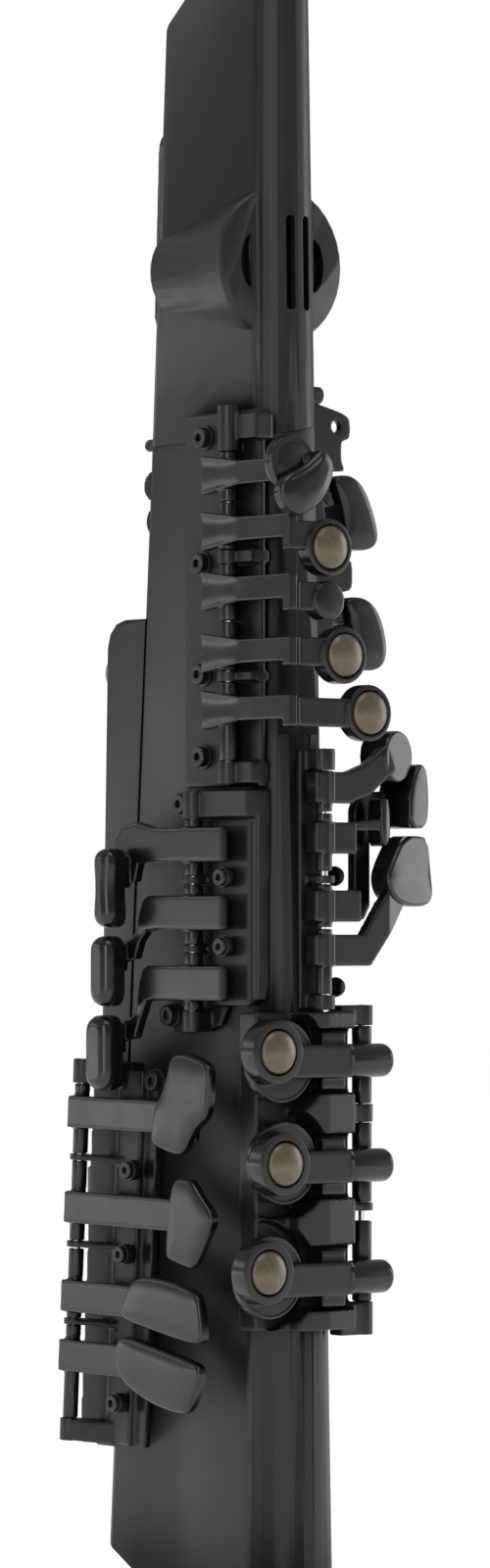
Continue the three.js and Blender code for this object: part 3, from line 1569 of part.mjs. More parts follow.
const pinkyKeys = [
  { z: 88.6, middle: [-50.9, 94], size: [24, 27], shares: [
    [0.30, 0.966], [0.53, 1], [0.74, 0.97], [0.96, 0.92], [1, 0.853],
    [0.99, 0.466], [0.95, 0.39], [0.74, 0.275],
    [0.59, 0.03], [0.53, 0], [0.37, 0], [0.04, 0.064], [0, 0.1], [0.02, 0.42], [0.175, 0.59], [0.26, 0.83],
  ] },
  { z: 62.5, middle: [-56.8, 62.5], size: [19.4, 23.7], shares: [
    [0.04, 0.966], [0.37, 1], [0.51, 0.977], [0.67, 0.833],
    [1, 0.632], [0.98, 0.53], [0.83, 0.32], [0.63, 0.034],
    [0.565, 0], [0.39, 0.02], [0.065, 0.07], [0, 0.09],
  ] },
  { z: 38.2, middle: [-46.6, 38.8], size: [35.8, 15.5], shares: [
    [0.16, 0.935], [0.27, 1], [0.565, 1], [0.835, 0.90], [0.93, 0.79],
    [0.95, 0.56], [1, 0.11], [0.96, 0], [0.75, 0],
    [0.08, 0.18], [0, 0.26], [0, 0.38], [0.08, 0.79],
  ] },
  { z: 21.9, middle: [-45.4, 20.8], size: [37.2, 18], shares: [
    [0.01, 0.92], [0.09, 1], [0.935, 0.78], [1, 0.72],
    [0.985, 0.484], [0.88, 0.04], [0.78, 0], [0.57, 0.03],
    [0.28, 0.15], [0.10, 0.315], [0.02, 0.484], [0, 0.67],
  ] },
];
const pinkyRanges = tubeRanges(pinkyPosts, pinkyKeys.map((one) => one.z));
pinkyKeys.forEach((one, i) => {
  const [low, high] = pinkyRanges[i];
  const tube = hollowTube(pinky.tubeRadius, low, high);
  const [y, z] = one.middle;
  const [wide, tall] = one.size;
  const points = one.shares.map(([a, b]) => [y + wide / 2 - a * wide, z - tall / 2 + b * tall]).reverse();
  const half = pinky.armTall / 2;
  const front = one.z - (y - pinky.armPivot) * pinky.armSlope;
  const back = one.z - (pinky.armBack - pinky.armPivot) * pinky.armSlope;
  const solid = joined([
    tube.add,
    prismX([
      [y, front - half], [pinky.armBack, back - half], [pinky.armBack, back + half], [y, front + half],
    ], pinky.armOut, pinky.armIn),
    prismX(points, pinky.touchOut, pinky.touchIn),
    block(
      pinky.touchIn - clearance, pinky.padIn, y - wide / 2 + pinky.padFront, y + wide / 2 - pinky.padInset,
      one.z - half, one.z + half,
    ),
  ]).subtract(tube.cut);
  place(`pinky_key_${i + 1}`, alongPinky(solid), keyPlastic);
});
const pinkyWeb = [[-1.4, -2.4], [5, -15], [9.5, -15], [9.5, -9], [2.4, 1.4]];
const pinkyWebs = pinkyPosts.map((post) => joined([
  postSolid(0, 0, pinky.postRadius, post),
  prismZ(pinkyWeb, post.low, post.high),
]));
const pinkyRail = joined([
  block(pinky.railOut, pinky.railIn, pinky.railFront, pinky.railBack, pinky.low, pinky.high),
  block(pinky.ridgeOut, pinky.railIn, pinky.ridgeFront, pinky.ridgeBack, pinky.low, pinky.high),
  block(
    pinky.backingOut, pinky.backingIn, pinky.railBack - clearance, pinky.backingBack, pinky.low, pinky.high,
  ),
  ...pinkyWebs,
]).subtract(barZ(0, 0, boreRadius, -body.length, body.length, 10));
place('pinky_rail', alongPinky(pinkyRail).subtract(bodyKeepOut), platePlastic);
place(
  'pinky_rod',
  alongPinky(barZ(0, 0, rodRadius, pinkyPosts[4].low - rodEnd, pinkyPosts[0].high + rodEnd, 12)),
  steelFinish,
);

export default instrument;
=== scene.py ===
import json
import math

import bmesh
import bpy
import numpy as np
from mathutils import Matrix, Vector

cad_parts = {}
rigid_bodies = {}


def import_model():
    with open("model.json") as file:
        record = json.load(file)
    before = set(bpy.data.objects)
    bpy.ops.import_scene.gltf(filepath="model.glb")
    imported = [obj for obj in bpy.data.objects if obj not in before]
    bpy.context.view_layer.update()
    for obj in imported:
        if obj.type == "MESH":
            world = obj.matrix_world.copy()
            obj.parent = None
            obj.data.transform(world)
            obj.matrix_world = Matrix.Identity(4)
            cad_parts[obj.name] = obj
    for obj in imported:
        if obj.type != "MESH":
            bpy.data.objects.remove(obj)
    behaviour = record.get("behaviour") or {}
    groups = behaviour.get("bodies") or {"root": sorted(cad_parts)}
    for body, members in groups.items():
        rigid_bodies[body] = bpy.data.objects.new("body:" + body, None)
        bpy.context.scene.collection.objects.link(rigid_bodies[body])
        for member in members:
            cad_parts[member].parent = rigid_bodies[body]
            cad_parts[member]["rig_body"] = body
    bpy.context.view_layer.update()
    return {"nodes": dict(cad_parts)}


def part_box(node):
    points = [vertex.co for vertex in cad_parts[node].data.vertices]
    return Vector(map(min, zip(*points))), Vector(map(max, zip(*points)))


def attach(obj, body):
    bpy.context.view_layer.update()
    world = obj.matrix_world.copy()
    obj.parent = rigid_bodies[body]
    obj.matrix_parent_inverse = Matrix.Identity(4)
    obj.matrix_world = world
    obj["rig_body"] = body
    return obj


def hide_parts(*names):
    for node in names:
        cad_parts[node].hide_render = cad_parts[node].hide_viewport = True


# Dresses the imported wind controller: moulded skins over the CAD solids, turned fittings and studio light.
# Sizes in the dictionaries are millimetres; meshes are written in metres.
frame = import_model()
nodes = frame["nodes"]
mm = 0.001
print("frame loaded:", len(nodes), "CAD nodes")


# Node trees
# Each socket takes a value, or a link where the value is itself a socket
def setSockets(tree, node, sockets):
    for key, value in sockets.items():
        if isinstance(value, bpy.types.NodeSocket):
            tree.links.new(value, node.inputs[key])
        else:
            node.inputs[key].default_value = value


# A new node; its settings come first, as they can change which sockets it has
def addNode(tree, kind, sockets=None, **settings):
    node = tree.nodes.new("ShaderNode" + kind)
    for key, value in settings.items():
        setattr(node, key, value)
    setSockets(tree, node, sockets or {})
    return node


# One arithmetic step on up to three values
def maths(tree, operation, first, second=0.0, third=0.0):
    return addNode(tree, "Math", {0: first, 1: second, 2: third}, operation=operation).outputs[0]


# The place of value between low and high becomes the same place between toLow and toHigh
def spread(tree, value, low, high, toLow=0.0, toHigh=1.0):
    return addNode(tree, "MapRange", {0: value, 1: low, 2: high, 3: toLow, 4: toHigh}).outputs[0]


# The first colour at factor 0, the second at factor 1
def blendColour(tree, factor, first, second):
    return addNode(tree, "Mix", {0: factor, 6: first, 7: second}, data_type="RGBA").outputs[2]


# A node group with inputs (label, kind, value) and outputs (label, kind)
def newGroup(name, inputs, outputs):
    group = bpy.data.node_groups.new(name, "ShaderNodeTree")
    for label, kind, value in inputs:
        socket = group.interface.new_socket(label, in_out="INPUT", socket_type="NodeSocket" + kind)
        if value is not None:
            socket.default_value = value
    for label, kind in outputs:
        group.interface.new_socket(label, in_out="OUTPUT", socket_type="NodeSocket" + kind)
    return group, group.nodes.new("NodeGroupInput"), group.nodes.new("NodeGroupOutput")


# Noise below the first value counts as none and above the second as full
noiseRange, speckRange, patchRange = (0.3, 0.7), (0.62, 0.8), (0.35, 0.65)
patchLeast = 0.3
# Fine moulded grain, broad mottling and the faint dust that settles between them
def makeMouldedGrain():
    group, start, end = newGroup(
        "mouldedGrain",
        [("Vector", "Vector", None), ("Grain size", "Float", 0.35), ("Mottle size", "Float", 14.0)],
        [("Height", "Float"), ("Mottle", "Float"), ("Dust", "Float")],
    )
    grainScale = maths(group, "DIVIDE", 1000.0, start.outputs["Grain size"])
    mottleScale = maths(group, "DIVIDE", 1000.0, start.outputs["Mottle size"])
    grain = addNode(group, "TexNoise", {"Vector": start.outputs["Vector"], "Scale": grainScale, "Detail": 2.0})
    mottle = addNode(group, "TexNoise", {"Vector": start.outputs["Vector"], "Scale": mottleScale, "Detail": 4.0})
    specks = addNode(group, "TexNoise", {"Vector": start.outputs["Vector"], "Scale": 420.0, "Detail": 5.0})
    group.links.new(grain.outputs[0], end.inputs["Height"])
    group.links.new(spread(group, mottle.outputs[0], *noiseRange), end.inputs["Mottle"])
    group.links.new(spread(group, specks.outputs[0], *speckRange), end.inputs["Dust"])
    return group


# Handling wear along convex edges, broken up so that it is never an even line
def makeEdgeWear():
    group, start, end = newGroup(
        "edgeWear",
        [("Vector", "Vector", None), ("Low", "Float", 0.52), ("High", "Float", 0.6)],
        [("Mask", "Float")],
    )
    edge = addNode(group, "NewGeometry").outputs["Pointiness"]
    ramp = spread(group, edge, start.outputs["Low"], start.outputs["High"])
    patches = addNode(group, "TexNoise", {"Vector": start.outputs["Vector"], "Scale": 160.0, "Detail": 3.0})
    mask = maths(group, "MULTIPLY", ramp, spread(group, patches.outputs[0], *patchRange, patchLeast, 1.0))
    group.links.new(mask, end.inputs["Mask"])
    return group


# Rings about the local Z axis, as a lathe leaves them
def makeTurnedRings():
    group, start, end = newGroup(
        "turnedRings",
        [("Vector", "Vector", None), ("Ring size", "Float", 0.25)],
        [("Height", "Float"), ("Band", "Float")],
    )
    flat = addNode(group, "VectorMath", {0: start.outputs["Vector"], 1: (1, 1, 0)}, operation="MULTIPLY")
    radius = addNode(group, "VectorMath", {0: flat.outputs[0]}, operation="LENGTH").outputs["Value"]
    turns = maths(group, "DIVIDE", radius, maths(group, "MULTIPLY", start.outputs["Ring size"], mm))
    wave = maths(group, "SINE", maths(group, "MULTIPLY", turns, 2 * math.pi))
    cloud = addNode(group, "TexNoise", {"Vector": start.outputs["Vector"], "Scale": 260.0, "Detail": 3.0})
    group.links.new(wave, end.inputs["Height"])
    group.links.new(spread(group, cloud.outputs[0], *noiseRange), end.inputs["Band"])
    return group


mouldedGrain = makeMouldedGrain()
edgeWear = makeEdgeWear()
turnedRings = makeTurnedRings()


# A node group placed in a tree with its own values
def useGroup(tree, group, sockets):
    return addNode(tree, "Group", sockets, node_tree=group)


# A Principled material, and the object's own coordinates to place its textures by
def newMaterial(name, settings):
    material = bpy.data.materials.new(name)
    material.use_nodes = True
    tree = material.node_tree
    tree.nodes.clear()
    output = tree.nodes.new("ShaderNodeOutputMaterial")
    shader = tree.nodes.new("ShaderNodeBsdfPrincipled")
    tree.links.new(shader.outputs[0], output.inputs[0])
    setSockets(tree, shader, settings)
    place = addNode(tree, "TexCoord").outputs["Object"]
    return material, tree, shader, place


# Painted shade for crevices and recesses. Where ambient occlusion is at narrow or less, the colour goes most of the way
# to its dark tone and the gloss falls to the share least. From open up, nothing is painted.
paintedShade = {"narrow": 0.25, "open": 0.85, "least": 0.2, "samples": 4}
bevelSamples = 6


# Dark to light with the mottling, then worn edges, dust, and painted shade that darkens the colour and dims the gloss
# in crevices and recesses; the grain bends the normal
def plastic(look):
    material, tree, shader, place = newMaterial(look["name"], look["shader"])
    sizes = {"Grain size": look["grain"], "Mottle size": look["mottle"]}
    grain = useGroup(tree, mouldedGrain, {"Vector": place, **sizes})
    colour = blendColour(tree, grain.outputs["Mottle"], look["dark"], look["light"])
    if "wear" in look:
        worn = useGroup(tree, edgeWear, {"Vector": place})
        share = maths(tree, "MULTIPLY", worn.outputs[0], look["wear"])
        colour = blendColour(tree, share, colour, look["worn"])
    dusty = maths(tree, "MULTIPLY", grain.outputs["Dust"], look["dust"])
    colour = blendColour(tree, dusty, colour, look["dustColour"])
    # Painted shade: ambient occlusion over the look's reach darkens the colour and dims the specular in crevices, in
    # recesses and between parts
    if "paintedShade" in look:
        reach = {"Distance": look["paintedShade"] * mm}
        gather = addNode(tree, "AmbientOcclusion", reach, samples=paintedShade["samples"]).outputs["AO"]
        unshadedShare = spread(tree, gather, paintedShade["narrow"], paintedShade["open"], paintedShade["least"], 1.0)
        colour = blendColour(tree, unshadedShare, look["dark"], colour)
        gloss = maths(tree, "MULTIPLY", unshadedShare, look["shader"]["Specular IOR Level"])
        tree.links.new(gloss, shader.inputs["Specular IOR Level"])
    low, high = look["rough"]
    tree.links.new(colour, shader.inputs["Base Color"])
    tree.links.new(spread(tree, grain.outputs["Mottle"], 0, 1, low, high), shader.inputs["Roughness"])
    normal = {"Height": grain.outputs["Height"], "Strength": look["bump"], "Distance": look["bumpDepth"] * mm}
    if "soften" in look:
        radius = {"Radius": look["soften"] * mm}
        normal["Normal"] = addNode(tree, "Bevel", radius, samples=bevelSamples).outputs[0]
    tree.links.new(addNode(tree, "Bump", normal).outputs[0], shader.inputs["Normal"])
    return material


# The last entry of body, key and plate is the reach in millimetres of the shade painted into their crevices
looks = {
    "body": {
        "name": "bodyPlastic", "dark": (0.0120, 0.0116, 0.0118, 1), "light": (0.0150, 0.0143, 0.0145, 1),
        "rough": (0.36, 0.44), "grain": 0.28, "mottle": 22, "bump": 0.16, "bumpDepth": 0.04, "soften": 0.45,
        "dust": 0.03, "dustColour": (0.08, 0.077, 0.074, 1), "shader": {"Specular IOR Level": 0.45},
        "paintedShade": 26,
    },
    "key": {
        "name": "keyPlastic", "dark": (0.0062, 0.0060, 0.0063, 1), "light": (0.0088, 0.0084, 0.0085, 1),
        "rough": (0.20, 0.27), "grain": 0.22, "mottle": 9, "bump": 0.09, "bumpDepth": 0.025,
        "wear": 0.3, "worn": (0.035, 0.033, 0.032, 1), "dust": 0.03, "dustColour": (0.07, 0.066, 0.062, 1),
        "shader": {"Specular IOR Level": 0.55}, "paintedShade": 5,
    },
    "plate": {
        "name": "platePlastic", "dark": (0.0120, 0.0114, 0.0112, 1), "light": (0.0165, 0.0155, 0.0150, 1),
        "rough": (0.32, 0.40), "grain": 0.25, "mottle": 12, "bump": 0.14, "bumpDepth": 0.03,
        "wear": 0.3, "worn": (0.045, 0.042, 0.040, 1), "dust": 0.03, "dustColour": (0.08, 0.076, 0.072, 1),
        "shader": {"Specular IOR Level": 0.45}, "paintedShade": 14,
    },
    "rubber": {
        "name": "rubber", "dark": (0.005, 0.005, 0.005, 1), "light": (0.008, 0.008, 0.008, 1),
        "rough": (0.5, 0.62), "grain": 0.15, "mottle": 3, "bump": 0.3, "bumpDepth": 0.04,
        "dust": 0.08, "dustColour": (0.06, 0.058, 0.055, 1), "shader": {"Specular IOR Level": 0.35},
    },
}
materials = {kind: plastic(look) for kind, look in looks.items()}


metals = {
    "steel": {
        "name": "polishedSteel", "shader": {"Metallic": 1.0, "Roughness": 0.16}, "bump": 0.1,
        "colour": (0.62, 0.61, 0.60, 1), "tint": (0.72, 0.71, 0.70, 1),
    },
    "screw": {
        "name": "brownedScrew", "shader": {"Metallic": 0.85, "Roughness": 0.38}, "bump": 0.3,
        "colour": (0.050, 0.047, 0.044, 1), "tint": (0.075, 0.071, 0.066, 1),
    },
    "cell": {
        "name": "cellSleeve", "shader": {"Metallic": 0.6, "Roughness": 0.4}, "bump": 0.1,
        "colour": (0.16, 0.17, 0.18, 1), "tint": (0.2, 0.21, 0.22, 1),
    },
}
turning = {"ring": 0.3, "smoothest": 0.85, "roughest": 1.2, "grain": 5000.0, "depth": 0.02}


# Turned rings tint the colour and vary the roughness about its own value; a fine grain bends the normal
def metal(look):
    material, tree, shader, place = newMaterial(look["name"], look["shader"])
    band = useGroup(tree, turnedRings, {"Vector": place, "Ring size": turning["ring"]}).outputs["Band"]
    tree.links.new(blendColour(tree, band, look["colour"], look["tint"]), shader.inputs["Base Color"])
    level = shader.inputs["Roughness"].default_value
    rough = spread(tree, band, 0, 1, level * turning["smoothest"], level * turning["roughest"])
    tree.links.new(rough, shader.inputs["Roughness"])
    grain = addNode(tree, "TexNoise", {"Vector": place, "Scale": turning["grain"], "Detail": 2.0})
    normal = {"Height": grain.outputs[0], "Strength": look["bump"], "Distance": turning["depth"] * mm}
    tree.links.new(addNode(tree, "Bump", normal).outputs[0], shader.inputs["Normal"])
    return material


materials.update({kind: metal(look) for kind, look in metals.items()})
shellLook = {
    "shader": {"Metallic": 0.3, "Coat Weight": 0.4, "Coat Roughness": 0.22}, "ring": 0.26, "rough": (0.36, 0.46),
    "fanTurns": 1.3, "fanShare": 0.45, "bandShare": 0.5, "cloud": (0.3, 0.75), "line": (0.2, 1.0), "lineShare": 0.12,
    "deep": (0.112, 0.090, 0.052, 1), "pale": (0.176, 0.145, 0.090, 1), "lineColour": (0.075, 0.060, 0.036, 1),
}


# Champagne button with the fine rings and faint cloudy fans of turned shell, centred on each piece
def pearlMaterial(name, centre):
    look = shellLook
    material, tree, shader, place = newMaterial(name, look["shader"])
    turn = {"Vector": place, "Location": (-centre[0], centre[2], -centre[1]), "Rotation": (math.pi / 2, 0, 0)}
    swapped = addNode(tree, "Mapping", turn).outputs[0]
    rings = useGroup(tree, turnedRings, {"Vector": swapped, "Ring size": look["ring"]})
    split = addNode(tree, "SeparateXYZ", {0: swapped})
    angle = maths(tree, "ARCTAN2", split.outputs[1], split.outputs[0])
    fanned = {"W": maths(tree, "MULTIPLY", angle, look["fanTurns"]), "Scale": 1.2, "Detail": 2.0}
    fan = addNode(tree, "TexNoise", fanned, noise_dimensions="1D")
    banded = maths(tree, "MULTIPLY", rings.outputs["Band"], look["bandShare"])
    cloudy = maths(tree, "MULTIPLY_ADD", fan.outputs[0], look["fanShare"], banded)
    base = blendColour(tree, spread(tree, cloudy, *look["cloud"]), look["deep"], look["pale"])
    line = spread(tree, rings.outputs["Height"], *look["line"], 0, look["lineShare"])
    tree.links.new(blendColour(tree, line, base, look["lineColour"]), shader.inputs["Base Color"])
    tree.links.new(spread(tree, rings.outputs["Band"], 0, 1, *look["rough"]), shader.inputs["Roughness"])
    bump = addNode(tree, "Bump", {"Height": rings.outputs["Height"], "Strength": 0.10, "Distance": 0.02 * mm})
    tree.links.new(bump.outputs[0], shader.inputs["Normal"])
    return material


cane = {"deep": (0.36, 0.23, 0.075, 1), "pale": (0.60, 0.45, 0.21, 1), "rough": (0.45, 0.65)}


# Cane fibres along the reed
def reedMaterial():
    material, tree, shader, place = newMaterial("reedCane", {})
    stretched = addNode(tree, "Mapping", {"Vector": place, "Scale": (3200, 500, 500)})
    fibre = addNode(tree, "TexNoise", {"Vector": stretched.outputs[0], "Scale": 1.0, "Detail": 4.0}).outputs[0]
    colour = blendColour(tree, spread(tree, fibre, *noiseRange), cane["deep"], cane["pale"])
    tree.links.new(colour, shader.inputs["Base Color"])
    tree.links.new(spread(tree, fibre, *noiseRange, *cane["rough"]), shader.inputs["Roughness"])
    bump = addNode(tree, "Bump", {"Height": fibre, "Strength": 0.4, "Distance": 0.05 * mm})
    tree.links.new(bump.outputs[0], shader.inputs["Normal"])
    return material


materials["reed"] = reedMaterial()
print("materials made:", len(materials))


# Surfaces
# Quads between neighbouring points of a grid; rows run along the shape and columns wrap round it
def gridSurface(points, wrap=True):
    rows, columns = points.shape[:2]
    index = np.arange(rows * columns).reshape(rows, columns)
    if wrap:
        index = np.concatenate([index, index[:, :1]], axis=1)
    quads = np.stack([index[:-1, :-1], index[:-1, 1:], index[1:, 1:], index[1:, :-1]], axis=-1).reshape(-1, 4)
    mesh = bpy.data.meshes.new("surface")
    mesh.from_pydata(points.reshape(-1, 3).tolist(), [], quads.tolist())
    return mesh


# A profile of [radius, height] points turned about +Z; ripple(angle) scales the radius of rows where it applies
def turned(profile, sides=48, ripple=None, rippleRows=None):
    radius, height = np.asarray(profile, float).T
    angle = np.linspace(0, 2 * np.pi, sides, endpoint=False)
    scale = np.ones((len(radius), sides))
    if ripple is not None:
        rows = np.ones(len(radius), bool) if rippleRows is None else rippleRows(radius, height)
        scale[rows] = ripple(angle)
    across = radius[:, None] * scale
    up = np.broadcast_to(height[:, None], across.shape)
    return np.stack([across * np.cos(angle), across * np.sin(angle), up], axis=-1)


# Each inner corner of a profile becomes a short curve that leaves both sides at the same distance
def eased(profile, ease, steps=5):
    points = np.asarray(profile, float)
    before, corner, after = points[:-2], points[1:-1], points[2:]

    def toward(other):
        step = other - corner
        length = np.linalg.norm(step, axis=1, keepdims=True)
        return corner + step / length * np.minimum(ease, length * 0.45)

    first, last = toward(before)[:, None], toward(after)[:, None]
    share = np.linspace(0, 1, steps)[None, :, None]
    arcs = (1 - share) ** 2 * first + 2 * share * (1 - share) * corner[:, None] + share ** 2 * last
    return np.concatenate([points[:1], arcs.reshape(-1, 2), points[-1:]])


# Turns +Z to the axis, then moves the millimetre points to their place in metres
def placed(points, origin, axis=(0, 0, 1)):
    turn = np.array(Vector((0, 0, 1)).rotation_difference(Vector(axis)).to_matrix())
    return (points @ turn.T + np.asarray(origin, float)) * mm


# A profile turned about an axis that starts at origin, as a mesh
def turnedSurface(profile, origin, axis, sides=48):
    return gridSurface(placed(turned(profile, sides), origin, axis))


# The radius of a hexagon's side at each angle, with 1 at its corners
def hexagon(angle):
    sector = np.mod(angle, np.pi / 3) - np.pi / 6
    return math.cos(math.pi / 6) / np.cos(sector)


pieces = []
# Points closer than this, in metres, are one
merge = {"piece": 1e-7, "solid": 2e-6}


# The meshes joined as one piece on its body, smooth but for edges of more than sharp degrees
def addPiece(name, meshes, body, material, replaced=(), slot=None, sharp=38, recalc=True):
    builder = bmesh.new()
    for mesh in meshes:
        builder.from_mesh(mesh)
        bpy.data.meshes.remove(mesh)
    if recalc:
        bmesh.ops.remove_doubles(builder, verts=builder.verts, dist=merge["piece"])
        bmesh.ops.recalc_face_normals(builder, faces=builder.faces)
    done = bpy.data.meshes.new(name)
    builder.to_mesh(done)
    builder.free()
    done.shade_smooth()
    if sharp:
        done.set_sharp_from_angle(angle=math.radians(sharp))
    piece = bpy.data.objects.new(name, done)
    bpy.context.scene.collection.objects.link(piece)
    done.materials.append(material)
    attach(piece, body)
    if replaced:
        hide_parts(*replaced)
    pieces.append(piece)
    return piece


# A piece in key plastic
def addKeyPiece(name, meshes, body, **settings):
    return addPiece(name, meshes, body, materials["key"], slot="key_plastic", **settings)


# A CAD node's triangles, merged into one closed mesh
def mergedNode(node):
    builder = bmesh.new()
    builder.from_mesh(nodes[node].data)
    bmesh.ops.remove_doubles(builder, verts=builder.verts, dist=merge["solid"])
    mesh = bpy.data.meshes.new(node + "_merged")
    builder.to_mesh(mesh)
    builder.free()
    return mesh


# A moulded skin: the solid is remeshed in small even cells and relaxed, which rounds every edge;
# shape moves points after that
def mouldedSkin(node, material, slot, cell=0.35, relax=5, shape=None):
    mesh = mergedNode(node)
    draft = bpy.data.objects.new("draft", mesh)
    bpy.context.scene.collection.objects.link(draft)
    remesh = draft.modifiers.new("cells", "REMESH")
    remesh.mode = "VOXEL"
    remesh.voxel_size = cell * mm
    smooth = draft.modifiers.new("relax", "SMOOTH")
    smooth.factor = 0.5
    smooth.iterations = relax
    done = bpy.data.meshes.new_from_object(draft.evaluated_get(bpy.context.evaluated_depsgraph_get()))
    bpy.data.objects.remove(draft)
    bpy.data.meshes.remove(mesh)
    if shape is not None:
        movedPoints(done, shape)
    return addPiece(node + "_skin", [done], nodes[node]["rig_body"], material, [node], slot, sharp=0, recalc=False)


# shape takes the mesh's points in millimetres and gives their new places
def movedPoints(mesh, shape):
    points = np.zeros(len(mesh.vertices) * 3)
    mesh.vertices.foreach_get("co", points)
    points = shape(points.reshape(-1, 3) / mm) * mm
    mesh.vertices.foreach_set("co", points.ravel())


# The thin shells keep their own faces: merged, smooth across small angles and sharp at the rest
def shellSkin(node, material, slot, shape=None):
    mesh = mergedNode(node)
    if shape is not None:
        movedPoints(mesh, shape)
    return addPiece(node + "_skin", [mesh], nodes[node]["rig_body"], material, [node], slot, sharp=32, recalc=False)


seam = {"height": 310, "slope": 0.2, "gap": 0.3, "line": 0.06, "near": 0.02}


# Points on the split plane x = 0 and on the sloped seam z = height + slope x move
# until only a thin line is left
def closedSeams(points):
    moved = points.copy()
    split = np.abs(np.abs(moved[:, 0]) - seam["gap"] / 2) < seam["near"]
    moved[split, 0] = np.sign(moved[split, 0]) * seam["line"] / 2
    across = moved[:, 2] - seam["height"] - seam["slope"] * points[:, 0]
    moved[np.abs(across) < seam["near"], 2] -= seam["gap"] - seam["line"]
    return moved


# Body, head, rear housing
for node in ("head_shell_right", "head_shell_left", "body_shell_right", "body_shell_left"):
    shellSkin(node, materials["body"], "body_plastic", closedSeams)
housing = {
    "rim": 1.65, "wideLow": 13.4, "wideHigh": 8.1, "length": 460, "backLow": 44.2, "backHigh": 29.9, "knee": 300,
    "near": 0.6,
}


# The housing's front edge moves round the body's back corner, so no groove is left beside it
def rimForward(points):
    x, y, z = points.T
    back = housing["backLow"] + (housing["backHigh"] - housing["backLow"]) * z / housing["knee"]
    side = housing["wideLow"] + (housing["wideHigh"] - housing["wideLow"]) * z / housing["length"]
    moved = points.copy()
    corner = (np.abs(x) > side - housing["near"]) & (np.abs(y - back) < housing["near"])
    moved[corner, 1] -= housing["rim"]
    return moved


shellSkin("rear_housing", materials["body"], "body_plastic", rimForward)
for node in ("end_cap", "battery_door"):
    shellSkin(node, materials["body"], "body_plastic")
print("shells dressed")


# Keys and plates
# Hollows the flared foot of a left-hand arm between its two ridges, and cuts the fine notch
# where its bar begins
def upperArm(arm, foot, notched):
    def shape(points):
        x, y, z = points.T
        along = np.clip((y - foot["front"]) / (foot["back"] - foot["front"]), 0, 1)
        half = foot["narrow"] + (foot["wide"] - foot["narrow"]) * along
        across = np.clip(np.abs(z - arm) / np.maximum(half - foot["ridge"], foot["least"]), 0, 1)
        inside = (1 - across ** 3) * np.clip((y - foot["front"]) / foot["ease"], 0, 1) ** foot["onset"]
        outer = np.clip((foot["outer"] + foot["reach"] - x) / foot["fade"], 0, 1)
        moved = points.copy()
        moved[:, 0] += foot["depth"] * inside * outer
        if notched:
            slit = np.exp(-((x - foot["slit"]) / foot["slitHalf"]) ** 4)
            ending = np.clip((foot["slitBack"] - y) / foot["slitFade"], 0, 1)
            moved[:, 1] += foot["slitDepth"] * (slit * ending)
        return moved
    return shape


# Nothing of the skin stands past a limit along a direction, so that a finer face can cover it
def cutBack(origin, direction, limit):
    def shape(points):
        past = (points - np.asarray(origin)) @ np.asarray(direction) - limit
        return points - np.maximum(past, 0)[:, None] * np.asarray(direction)
    return shape


# The directions across, up and out of a touch's plane
def planeAxes(look):
    return [np.array(planes[look["plane"]][key], float) for key in ("across", "up", "out")]


# Outward normals of a closed outline, square to the line from the point step places before to the one after
def outlineNormals(loop, step):
    tangent = np.roll(loop, -step, axis=0) - np.roll(loop, step, axis=0)
    normal = np.stack([tangent[:, 1], -tangent[:, 0]], axis=1)
    return normal / np.linalg.norm(normal, axis=1, keepdims=True)


# Skin points in a touch's slab that stand out past its smooth outline are drawn in to stay inside it
def tuckedIn(look):
    across, up, out = planeAxes(look)
    loop = smoothLoop(look["outline"], look["cuts"], look.get("soften", 0))
    normal = outlineNormals(loop, 1)

    def shape(points):
        offset = points - np.asarray(look["origin"])
        flat = np.stack([offset @ across, offset @ up], axis=1)
        height = offset @ out
        moved = points.copy()
        near = np.flatnonzero((height > -look["depth"] - tuck["below"]) & (height < tuck["above"]))
        if len(near) == 0:
            return moved
        gap = flat[near, None, :] - loop[None]
        nearest = np.argmin((gap ** 2).sum(axis=2), axis=1)
        past = (gap[np.arange(len(near)), nearest] * normal[nearest]).sum(axis=1) + tuck["inside"]
        pull = np.where((past > 0) & (past < tuck["reach"]), past, 0)[:, None] * normal[nearest]
        moved[near] -= pull[:, :1] * across + pull[:, 1:] * up
        return moved
    return shape


# One shape after another
def inTurn(*shapes):
    def shape(points):
        for one in shapes:
            points = one(points)
        return points
    return shape


foot = {
    "front": -20.6, "back": -3.9, "narrow": 3.2, "wide": 5.3, "ridge": 0.45, "ease": 9, "outer": -18.6,
    "depth": 0.5, "least": 0.1, "onset": 0.8, "reach": 0.9, "fade": 0.5, "slit": -15.3, "slitHalf": 0.45,
    "slitBack": -40.3, "slitDepth": 0.9, "slitFade": 0.6,
}
upperArms = {"front_f_key": 297.6, "b_key": 282.6, "bis_key": 266.5, "a_key": 249.9, "g_key": 234.6}

# The touches: outline corners across and up the plane of the face, cut back and eased into one smooth curve
railLean, tableTurn = 0.061, math.radians(18)
leanSine, leanCosine = math.sin(railLean), math.cos(railLean)
turnSine, turnCosine = math.sin(tableTurn), math.cos(tableTurn)
planes = {
    "front": {"across": (1, 0, 0), "up": (0, 0, 1), "out": (0, -1, 0)},
    "side": {"across": (0, 1, 0), "up": (0, 0, 1), "out": (-1, 0, 0)},
    "pinky": {"across": (0, leanCosine, leanSine), "up": (0, -leanSine, leanCosine), "out": (-1, 0, 0)},
    "table": {"across": (turnCosine, turnSine, 0), "up": (0, 0, 1), "out": (turnSine, -turnCosine, 0)},
}


# Corners given as shares of a box's width and height
def fromShares(shares, left, low, wide, tall):
    return [(left + a * wide, low + b * tall) for a, b in shares]


